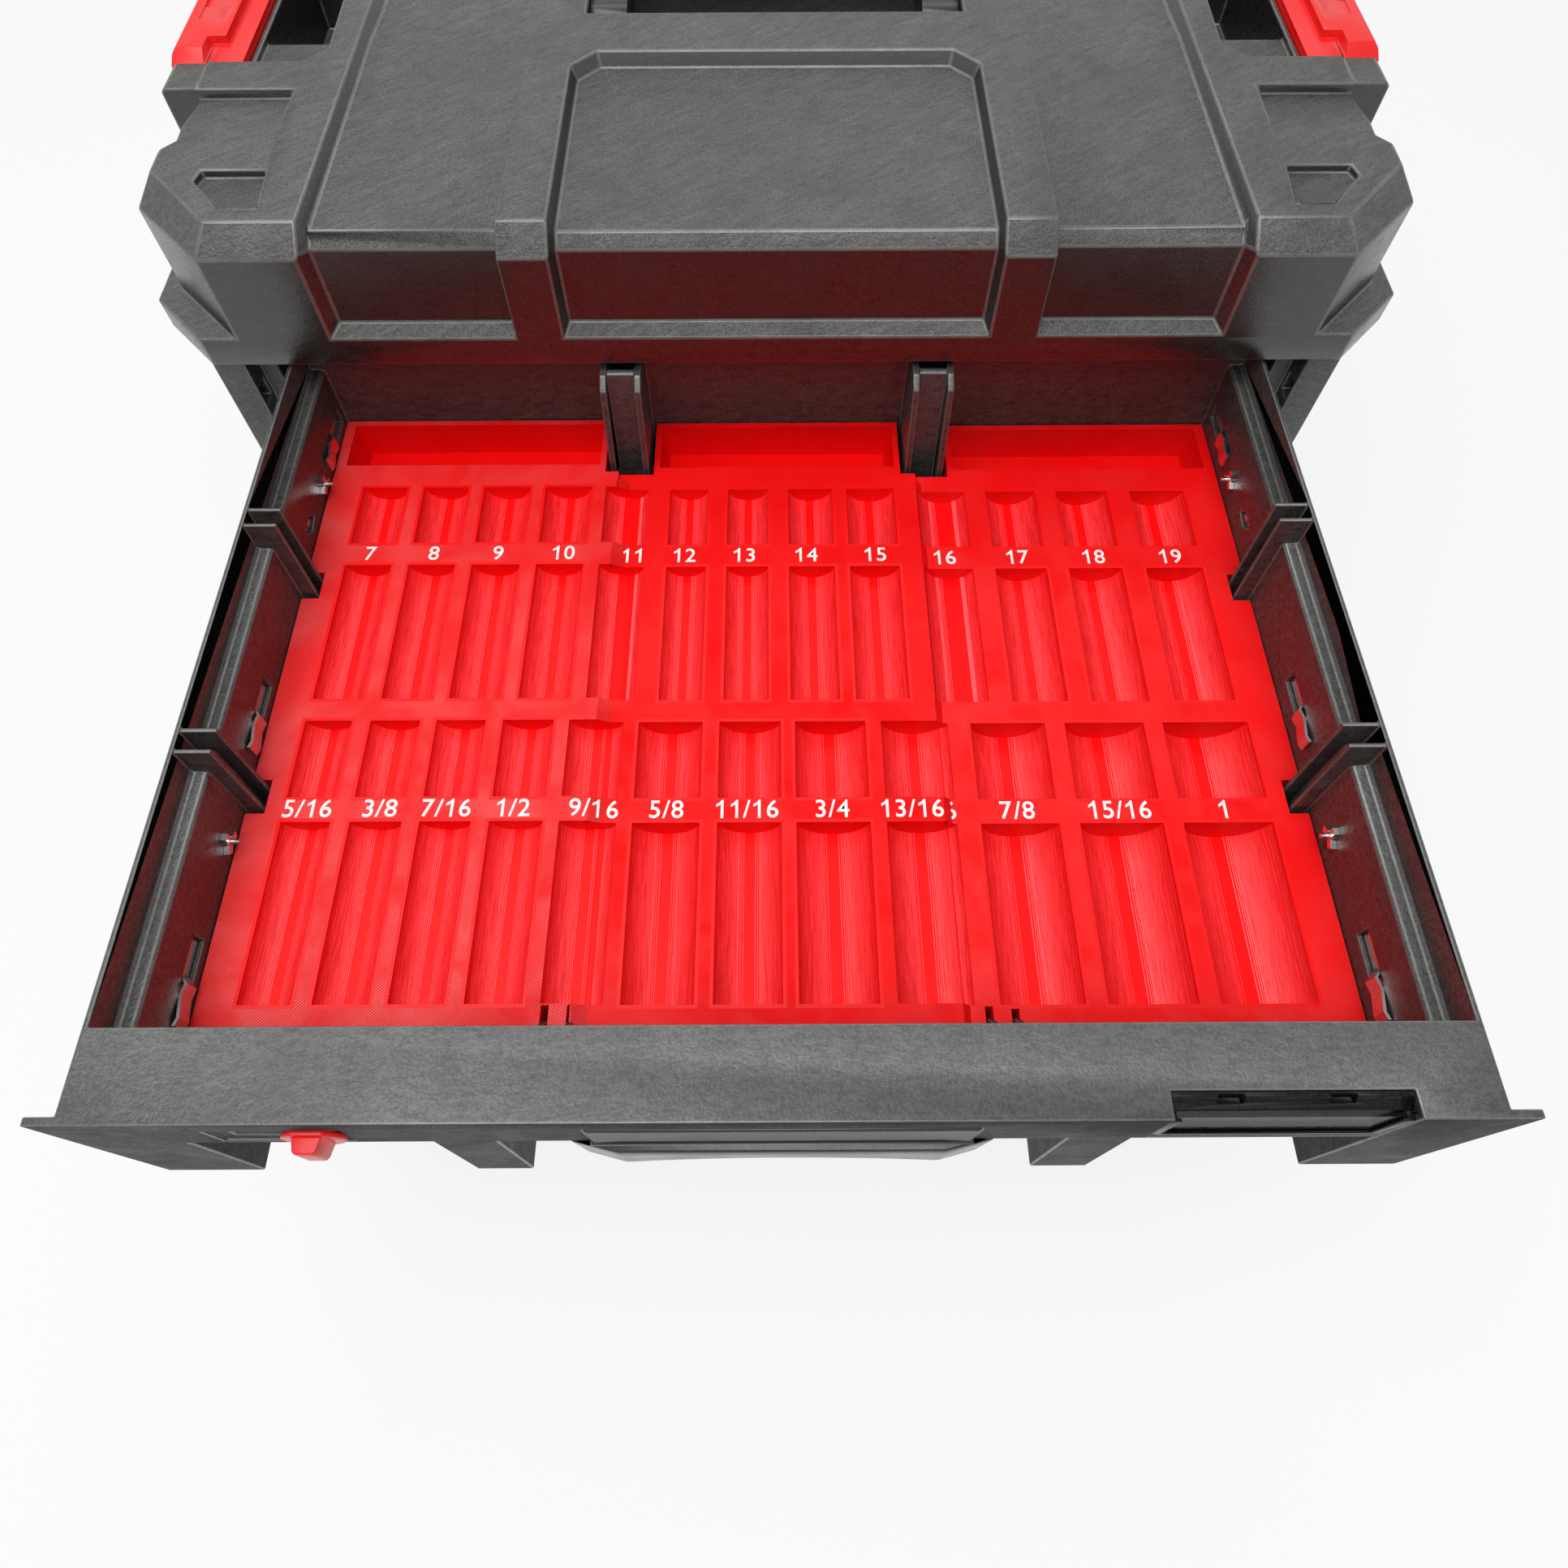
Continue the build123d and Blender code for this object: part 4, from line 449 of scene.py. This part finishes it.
# %% Rounded copies of CAD nodes
SLIVER = 0.22
SHORTEST_EDGE = 0.5
FLAT_ANGLE = radians(0.6)
SHARP_ANGLE = radians(18)
SMOOTH_ANGLE = radians(32)
BEVEL_SEGMENTS = 2
RADII = {
    "top_cap": 1.0,
    "side_panel_left": 0.8,
    "side_panel_right": 0.8,
    "base_pan": 1.0,
    "carry_handle": 1.6,
    "latch_left": 0.9,
    "latch_right": 0.9,
    "upper_drawer_box": 0.6,
    "lower_drawer_box": 0.6,
    "upper_pull_grip": 0.9,
    "lower_pull_grip": 0.9,
    "upper_lock_slider": 0.5,
    "lower_lock_slider": 0.5,
    "upper_label_holder": 0.35,
    "lower_label_holder": 0.35,
}
LIGHT_EDGED = (
    "top_cap", "side_panel_left", "side_panel_right", "base_pan", "upper_drawer_box",
    "lower_drawer_box",
)
CLAMPED = ("latch_left", "latch_right", "carry_handle")
UPRIGHT_LIMIT = 0.45
BEHIND_ALL = 1000.0
FRONT_DEPTH = 58.0
# The darker black on the top cap's upright faces is painted shade.
UPRIGHT_FINISH_AND_SHADE = {
    "top_cap": (cap_side_shaded_plastic, BEHIND_ALL),
    "upper_drawer_box": (front_plastic, FASCIA_Y + FRONT_DEPTH),
    "lower_drawer_box": (front_plastic, SHUT_FASCIA_Y + FRONT_DEPTH),
}


def deselect_all():
    bpy.ops.object.select_all(action="DESELECT")


def make_active(thing):
    deselect_all()
    thing.select_set(True)
    bpy.context.view_layer.objects.active = thing


def weld(thing, distance, flat_angle=None):
    """Merges vertices within distance, and then the faces that lie flat to flat_angle."""
    make_active(thing)
    bpy.ops.object.mode_set(mode="EDIT")
    bpy.ops.mesh.select_all(action="SELECT")
    bpy.ops.mesh.remove_doubles(threshold=distance * MM)
    if flat_angle is not None:
        bpy.ops.mesh.dissolve_limited(angle_limit=flat_angle)
    bpy.ops.object.mode_set(mode="OBJECT")


def weigh_edges(mesh):
    """Marks the edges to round: sharp ones, but not the short facets of small round holes."""
    weights = mesh.attributes.new("bevel_weight_edge", "FLOAT", "EDGE")
    graph = bmesh.new()
    graph.from_mesh(mesh)
    marks = []
    for edge in graph.edges:
        sharp = len(edge.link_faces) == 2 and edge.calc_face_angle(0) > SHARP_ANGLE
        marks.append(1.0 if sharp and edge.calc_length() > SHORTEST_EDGE * MM else 0.0)
    graph.free()
    weights.data.foreach_set("value", marks)


def rounded(node, radius):
    """A copy of a CAD node with rounded edges, which takes the node's place in the picture."""
    piece = new_object(node + "_moulding", nodes[node].data.copy())
    weld(piece, SLIVER, FLAT_ANGLE)
    weigh_edges(piece.data)
    bevel = piece.modifiers.new("radii", "BEVEL")
    bevel.width = radius * MM
    bevel.segments = BEVEL_SEGMENTS
    bevel.limit_method = "WEIGHT"
    bevel.use_clamp_overlap = node in CLAMPED
    # The lighter colour of the rounded faces is a painted highlight.
    if node in LIGHT_EDGED:
        piece.data.materials.append(edge_highlight_plastic)
        bevel.material = len(piece.data.materials) - 1
    bpy.ops.object.modifier_apply(modifier=bevel.name)
    bpy.ops.object.shade_smooth_by_angle(angle=SMOOTH_ANGLE)
    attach(piece, body_of[node])
    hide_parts(node)
    return piece


def dress_upright_faces(piece, material, behind_y):
    """Gives the upright faces in front of behind_y a material of their own. On the top cap it is a
    darker copy of the cap's black: painted shade.
    """
    piece.data.materials.append(material)
    last = len(piece.data.materials) - 1
    for face in piece.data.polygons:
        upright = abs(face.normal.z) < UPRIGHT_LIMIT
        if face.material_index == 0 and upright and face.center.y < behind_y * MM:
            face.material_index = last


for node, radius in RADII.items():
    piece = rounded(node, radius)
    if node in UPRIGHT_FINISH_AND_SHADE:
        dress_upright_faces(piece, *UPRIGHT_FINISH_AND_SHADE[node])
    print(node, "triangles:", sum(len(p.vertices) - 2 for p in piece.data.polygons))

# %% [markdown]
# ## Layers in the troughs
#
# A printed trough isn't a smooth half pipe: it climbs in steps of one layer, with a flat strip at
# the bottom. Each trough gets a thin stepped lining, drawn as a profile curve that is extruded
# along the trough. A socket is (middle of the trough, width of its opening), and a row is
# (sockets, near end, far end) with its ends measured back from the drawer's front.

# %% Troughs
METRIC_SOCKETS = (
    (-204.5, 23.0), (-172.7, 23.2), (-140.9, 24.0), (-108.9, 23.6), (-78.4, 22.0), (-46.0, 20.0),
    (-15.3, 21.0), (17.1, 23.0), (48.6, 25.0), (86.0, 25.0), (122.5, 26.0), (160.1, 27.0),
    (199.7, 28.5),
)
INCH_SOCKETS = (
    (-206.2, 21.5), (-175.7, 22.7), (-145.5, 22.6), (-114.8, 23.3), (-83.8, 24.5), (-49.8, 29.5),
    (-13.3, 28.2), (23.5, 32.5), (62.4, 31.2), (105.6, 34.5), (150.3, 36.7), (197.0, 39.5),
)
TROUGH_ROWS = (
    (INCH_SOCKETS, 52.4, 129.4),
    (INCH_SOCKETS, 140.9, 178.4),
    (METRIC_SOCKETS, 189.6, 264.9),
    (METRIC_SOCKETS, 278.4, 313.9),
)
DEPTH_RATIO = 0.44
SEAMS = (-80.0, 74.5)
SHOWN_STEPS = 4
EDGE_RUN = 0.35
WALL_POINTS = 12
WALL_LIFT = 0.05
TOP_GAP = 0.03
END_GAP = 0.05
SAME_POINT = 0.0001
CREASE_ANGLE = radians(22)
BAND_NORMAL = 0.9
STEPPED_HEIGHT = (SHOWN_STEPS + 0.9) * LAYER_HEIGHT
LINING_MATERIALS = (layer_streaks_and_sheen_red, band_red, bead_highlight_red)
WALL_INDEX, BAND_INDEX, EDGE_HIGHLIGHT_INDEX = range(3)


def trough_side(width):
    """(distance from the middle, height above the bottom) up one side: steps, then the wall."""
    depth = width * DEPTH_RATIO
    radius = (width * width / 4 + depth * depth) / (2 * depth)
    side = []
    for step in range(1, SHOWN_STEPS + 1):
        height = step * LAYER_HEIGHT
        reach = sqrt(2 * radius * height - height * height)
        side += [(reach, height), (reach + EDGE_RUN, height + LAYER_HEIGHT)]
    start = side[-1][0]
    for k in range(1, WALL_POINTS + 1):
        reach = start + (width / 2 - start) * sin(pi / 2 * k / WALL_POINTS)
        height = radius - sqrt(max(radius * radius - reach * reach, 0.0))
        side.append((reach, min(max(height + WALL_LIFT, side[-1][1]), depth - TOP_GAP)))
    return side


def trough_profile(x, width, side):
    """Cross-section of a trough; one that crosses a seam glides down to the lower piece."""
    bottom = ORGANIZER_TOPS[side] - width * DEPTH_RATIO
    points = [(-r, h) for r, h in reversed(trough_side(width))] + trough_side(width)
    right = x + width / 2
    profile = []
    for across, height in points:
        px, drop = x + across, 0.0
        for seam in SEAMS:
            if x - width / 2 < seam < right and px > seam:
                drop = STEP_DOWN * (px - seam) / (right - seam)
        profile.append((px, bottom + height - drop))
    return profile


def add_line(curve, points, closed):
    """Adds straight lines through (x, y) points."""
    spline = curve.splines.new("POLY")
    spline.points.add(len(points) - 1)
    for point, (px, py) in zip(spline.points, points):
        point.co = (px * MM, py * MM, 0, 1)
    spline.use_cyclic_u = closed


def mesh_object(name, curve):
    """A mesh object with the shape of a curve."""
    make_active(new_object(name, curve))
    bpy.ops.object.convert(target="MESH")
    return bpy.context.object


def profile_mesh(points, y0, y1):
    """Ribbon through (x, z) points, extruded from y0 to y1."""
    curve = bpy.data.curves.new("lining", "CURVE")
    curve.dimensions = "3D"
    curve.extrude = (y1 - y0) / 2 * MM
    add_line(curve, points, closed=False)
    thing = mesh_object("lining", curve)
    upright = Matrix(((1, 0, 0), (0, 0, -1), (0, 1, 0))).to_4x4()
    thing.data.transform(Matrix.Translation((0, (y0 + y1) / 2 * MM, 0)) @ upright)
    return thing


def join_all(things, name):
    deselect_all()
    for thing in things:
        thing.select_set(True)
    bpy.context.view_layer.objects.active = things[0]
    if len(things) > 1:
        bpy.ops.object.join()
    group = bpy.context.object
    group.name = group.data.name = name
    return group


def turn_faces_up(thing):
    weld(thing, SAME_POINT)
    if sum(p.normal.z * p.area for p in thing.data.polygons) < 0:
        thing.data.flip_normals()


def side_at(x):
    """The organizer piece at x."""
    if x < SEAMS[0]:
        return "left"
    return "middle" if x < SEAMS[1] else "right"


def colour_lining(thing, bottom):
    """Level bands, layer edges and the streaky wall each get their own material. The light pink of
    the layer edges is a painted highlight, and the pink of the wall's light streaks is painted
    sheen.
    """
    for material in LINING_MATERIALS:
        thing.data.materials.append(material)
    for face in thing.data.polygons:
        stepped = face.center.z < (bottom + STEPPED_HEIGHT) * MM
        level = abs(face.normal.z) > BAND_NORMAL
        if stepped:
            face.material_index = BAND_INDEX if level else EDGE_HIGHLIGHT_INDEX
        else:
            face.material_index = WALL_INDEX


linings = {side: [] for side in ORGANIZER_TOPS}
openings = {side: [] for side in ORGANIZER_TOPS}
for sockets, near, far in TROUGH_ROWS:
    for x, width in sockets:
        low_x, high_x = x - width / 2, x + width / 2
        side = side_at(low_x)
        y0, y1 = FASCIA_Y + near, FASCIA_Y + far
        lining = profile_mesh(trough_profile(x, width, side), y0 + END_GAP, y1 - END_GAP)
        turn_faces_up(lining)
        colour_lining(lining, ORGANIZER_TOPS[side] - width * DEPTH_RATIO)
        bpy.ops.object.shade_smooth_by_angle(angle=CREASE_ANGLE)
        linings[side].append(lining)
        if side_at(high_x) == side:
            openings[side].append((low_x, high_x, y0, y1))

for side, things in linings.items():
    group = join_all(things, f"organizer_{side}_layers")
    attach(group, "upper_drawer")
    print(group.name, len(group.data.polygons), "faces")

# %% [markdown]
# ## Laps between the printed pieces
#
# The organizer steps down by three millimetres from piece to piece. Each piece ends in a short
# slope on the next one, but only on the bars between the rows: inside a row the troughs cut
# through it. So a copy of the piece loses its straight lap with a Boolean, and every bar gets its
# own small ramp. Tops and ramps keep the red of their piece, and all other faces get the middle
# piece's red, which shines least.

# %% Laps
BARS = ((13.0, 52.4), (129.4, 140.9), (178.4, 189.6), (264.9, 278.4), (313.9, 319.0))
LAP_TOPS = (-83.5, 73.0)
LAP_FEET = (-77.5, 76.0)
LAP_ROOT = 0.5
LAP_SPARE = 0.3
LAP_SINK = 0.01
CUT_SINK = 0.02
CUT_WIDTH = 30.0
CUT_LENGTH = 400.0
CUT_MARGIN = 5.0
NEAR_ENOUGH = 0.1
COINCIDENT = 0.002
TOP_NORMAL = 0.85


def box_mesh(name, x0, x1, y0, y1, z0, z1):
    bpy.ops.mesh.primitive_cube_add(size=1, location=(0, 0, 0))
    thing = bpy.context.object
    thing.name = name
    centre = Vector(((x0 + x1) / 2, (y0 + y1) / 2, (z0 + z1) / 2)) * MM
    size = Matrix.Diagonal(Vector(((x1 - x0), (y1 - y0), (z1 - z0))) * MM).to_4x4()
    thing.data.transform(Matrix.Translation(centre) @ size)
    return thing


def lap_ramp(top_x, foot_x, top, y0, y1):
    """A box with a sloping right side, whose bottom is raised to the top of the next piece."""
    lap = box_mesh("lap", top_x - LAP_ROOT, foot_x, y0, y1, top - STEP_DOWN - LAP_SPARE, top)
    for vertex in lap.data.vertices:
        lower = vertex.co.z < (top - STEP_DOWN / 2) * MM
        if vertex.co.x > (foot_x - NEAR_ENOUGH) * MM:
            vertex.co.x = (foot_x if lower else top_x) * MM
        if lower:
            vertex.co.z = (top - STEP_DOWN - LAP_SINK) * MM
    return lap


for side, top_x, foot_x in zip(("left", "middle"), LAP_TOPS, LAP_FEET):
    node = f"organizer_{side}"
    top = ORGANIZER_TOPS[side]
    piece = new_object(node + "_print", nodes[node].data.copy())
    weld(piece, COINCIDENT)
    cutter = box_mesh("cutter", top_x, top_x + CUT_WIDTH, FASCIA_Y - CUT_MARGIN,
                      FASCIA_Y + CUT_LENGTH, top - STEP_DOWN - CUT_SINK, top + CUT_MARGIN)
    make_active(piece)
    cut = piece.modifiers.new("cut", "BOOLEAN")
    cut.operation = "DIFFERENCE"
    cut.object = cutter
    cut.solver = "EXACT"
    bpy.ops.object.modifier_apply(modifier=cut.name)
    bpy.data.objects.remove(cutter)
    ramps = [lap_ramp(top_x, foot_x, top, FASCIA_Y + y0, FASCIA_Y + y1) for y0, y1 in BARS]
    for thing in ramps:
        thing.data.materials.append(organizer_reds[side])
    piece = join_all([piece] + ramps, node + "_print")
    piece.data.materials.append(organizer_reds["middle"])
    for face in piece.data.polygons:
        on_top = face.normal.z > TOP_NORMAL and face.center.z > (top - STEP_DOWN) * MM
        face.material_index = 0 if on_top else len(piece.data.materials) - 1
    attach(piece, "upper_drawer")
    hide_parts(node)
    print(piece.name, len(piece.data.polygons), "faces")

# %% [markdown]
# ## Outline strokes
#
# A printer closes every opening of a level face with strokes that run round it. Here they are flat
# frames that lie on the tops, round each trough that doesn't cross a seam.

# %% Outline strokes
OUTLINE_WIDTH = 1.5
OUTLINE_HEIGHT = 0.02
OUTLINE_LIFT = 0.01


def rectangle(x0, x1, y0, y1):
    return ((x0, y0), (x1, y0), (x1, y1), (x0, y1))


for side, places in openings.items():
    curve = bpy.data.curves.new("outlines", "CURVE")
    curve.dimensions = "2D"
    curve.fill_mode = "BOTH"
    curve.extrude = OUTLINE_HEIGHT * MM
    for x0, x1, y0, y1 in places:
        w = OUTLINE_WIDTH
        add_line(curve, rectangle(x0 - w, x1 + w, y0 - w, y1 + w), closed=True)
        add_line(curve, rectangle(x0, x1, y0, y1), closed=True)
    thing = mesh_object("outlines", curve)
    thing.name = thing.data.name = f"organizer_{side}_outlines"
    lift = (ORGANIZER_TOPS[side] + OUTLINE_LIFT) * MM
    thing.data.transform(Matrix.Translation((0, 0, lift)))
    thing.data.materials.append(outline_red)
    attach(thing, "upper_drawer")
    print(thing.name, len(thing.data.polygons), "faces")

# %% [markdown]
# ## Trough numbers
#
# Each trough of the organizer has its socket size beside it, inlaid in white. The number lies on
# the bar between the short and the long trough of its size. Where a number crosses the first seam,
# it comes in parts, and the part on the sloping lap is tilted with it.

# %% Numbers
METRIC_LABELS = (
    ("7", -204.6), ("8", -172.7), ("9", -140.5), ("10", -107.9), ("11", -73.2), ("12", -47.2),
    ("13", -16.9), ("14", 14.2), ("15", 49.1), ("16", 84.5), ("17", 121.3), ("18", 159.9),
    ("19", 198.8),
)
INCH_LABELS = (
    ("5/16", -206.7), ("3/8", -175.0), ("7/16", -145.8), ("1/2", -116.8), ("9/", -87.9),
    ("1", -80.3), ("6", -73.5), ("5/8", -49.9), ("11/16", -14.5), ("3/4", 23.0), ("13/16", 58.2),
    ("6", 75.4), ("7/8", 105.0), ("15/16", 150.1), ("1", 196.3),
)
LABEL_ROWS = ((METRIC_LABELS, 271.9), (INCH_LABELS, 135.6))
LETTER_HEIGHT = 11.6
INLAY = 0.25
INLAY_SINK = 0.05
INK_SPREAD = 0.08
CURVE_STEPS = 4
DIGIT_WIDTH, SLASH_WIDTH = 0.556, 0.30
DIGIT_HEIGHT = 0.716
ONE = (
    (0.095, 0.0), (0.095, 0.716), (0.040, 0.716), (-0.035, 0.620), (-0.165, 0.545),
    (-0.165, 0.455), (-0.075, 0.500), (0.007, 0.560), (0.007, 0.0),
)

white_plastic, white_tree, white_shader = new_material(
    "white printed plastic", (0.86, 0.86, 0.84), 0.5)
bump(white_tree, white_shader, noise(white_tree, millimetres(white_tree), 1.5), 0.03, 0.6)


def glyph(letter, x):
    """One digit or slash, centred on x. The 1 gets a flag, which the font lacks."""
    if letter == "1":
        curve = bpy.data.curves.new("digit", "CURVE")
        curve.dimensions = "2D"
        curve.fill_mode = "BOTH"
        points = [(px * LETTER_HEIGHT, (py - DIGIT_HEIGHT / 2) * LETTER_HEIGHT) for px, py in ONE]
        add_line(curve, points, closed=True)
    else:
        curve = bpy.data.curves.new("digit", "FONT")
        curve.body = letter
        curve.align_x = "CENTER"
        curve.align_y = "CENTER"
        curve.size = LETTER_HEIGHT * MM
        curve.resolution_u = CURVE_STEPS
    curve.extrude = INLAY / 2 * MM
    curve.offset = INK_SPREAD * MM
    thing = mesh_object("digit", curve)
    xs = [v.co.x for v in thing.data.vertices]
    ys = [v.co.y for v in thing.data.vertices]
    middle = Vector(((min(xs) + max(xs)) / 2, (min(ys) + max(ys)) / 2, 0))
    if letter == "1":
        middle.x = 0
    thing.data.transform(Matrix.Translation(Vector((x * MM, 0, 0)) - middle))
    return thing


def number(text, x, y, z, tilt):
    widths = [LETTER_HEIGHT * (SLASH_WIDTH if c == "/" else DIGIT_WIDTH) for c in text]
    start = -sum(widths) / 2
    glyphs = []
    for letter, width in zip(text, widths):
        glyphs.append(glyph(letter, start + width / 2))
        start += width
    thing = join_all(glyphs, "number")
    place = Matrix.Translation(Vector((x, y, z)) * MM)
    thing.data.transform(place @ Matrix.Rotation(tilt, 4, "Y"))
    thing.data.materials.append(white_plastic)
    return thing


LAP_WIDTH = LAP_FEET[0] - LAP_TOPS[0]
LAP_TILT = atan2(STEP_DOWN, LAP_WIDTH)
numbers = {side: [] for side in ORGANIZER_TOPS}
for labels, offset in LABEL_ROWS:
    for text, x in labels:
        side = side_at(x)
        z, tilt = ORGANIZER_TOPS[side], 0.0
        if LAP_TOPS[0] < x < LAP_FEET[0]:
            z = ORGANIZER_TOPS["left"] - STEP_DOWN * (x - LAP_TOPS[0]) / LAP_WIDTH
            tilt = LAP_TILT
        z += INLAY / 2 - INLAY_SINK
        numbers[side].append(number(text, x, FASCIA_Y + offset, z, tilt))
for side, things in numbers.items():
    group = join_all(things, f"organizer_{side}_numbers")
    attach(group, "upper_drawer")
    print(group.name, len(group.data.polygons), "faces")

# %% [markdown]
# ## Floor and light
#
# The box stands on a plain pale floor. A large soft lamp hangs above the open drawer and a little
# ahead of it, so level faces and front bevels catch it while upright faces stay dark. A weaker one
# hangs behind, and a pale world fills the rest. Floor and world show as white to the camera and in
# gloss, but their light on the box is weaker, so that they don't light it more than a real bench.

# %% Floor and light
FLOOR_SIZE = 12
FLOOR_GREY = (0.80, 0.80, 0.80)
FLOOR_WHITENESS = 0.8
WORLD_STRENGTH = 0.26
WHITE = (1.0, 1.0, 1.0, 1.0)


def shown_directly(tree):
    """1 for rays from the camera, through a clear piece or in gloss, and 0 for other light."""
    path = add(tree, "ShaderNodeLightPath")
    is_camera, is_through, is_gloss = (
        path.outputs[f"Is {kind} Ray"] for kind in ("Camera", "Transmission", "Glossy"))
    seen = calculate(tree, "MAXIMUM", is_camera, is_through)
    return calculate(tree, "MAXIMUM", seen, is_gloss)


def blend_shaders(tree, amount, lit, shown, output):
    blend = add(tree, "ShaderNodeMixShader")
    for socket, value in zip(blend.inputs, (amount, lit.outputs[0], shown.outputs[0])):
        tree.links.new(value, socket)
    tree.links.new(blend.outputs[0], tree.nodes[output].inputs["Surface"])


def pale_floor():
    material, tree, shader = new_material("pale floor", FLOOR_GREY, 0.9)
    glow = add(tree, "ShaderNodeEmission", Color=WHITE, Strength=1.0)
    amount = calculate(tree, "MULTIPLY", shown_directly(tree), FLOOR_WHITENESS)
    blend_shaders(tree, amount, shader, glow, "Material Output")
    return material


def lamp(name, place, aim, size, power):
    data = bpy.data.lights.new(name, "AREA")
    data.shape = "RECTANGLE"
    data.size, data.size_y = size
    data.energy = power
    thing = new_object(name, data)
    thing.location = place
    thing.rotation_euler = (Vector(aim) - Vector(place)).to_track_quat("-Z", "Y").to_euler()


bpy.ops.mesh.primitive_plane_add(size=FLOOR_SIZE, location=(0, 0, 0))
floor = bpy.context.object
floor.name = "floor"
floor.data.materials.append(pale_floor())

world = bpy.data.worlds.new("studio")
bpy.context.scene.world = world
world.use_nodes = True
sky = world.node_tree.nodes["Background"]
sky.inputs["Color"].default_value = WHITE
sky.inputs["Strength"].default_value = WORLD_STRENGTH
backdrop = add(world.node_tree, "ShaderNodeBackground", Color=WHITE, Strength=1.0)
blend_shaders(
    world.node_tree, shown_directly(world.node_tree), sky, backdrop, "World Output")

lamp("front softbox", (-0.35, -0.80, 2.2), (-0.05, -0.35, 0.2), (2.4, 1.6), 48)
lamp("back softbox", (0.0, 0.95, 2.1), (0, -0.1, 0.3), (2.0, 1.0), 9)

bpy.context.scene.view_settings.view_transform = "Standard"
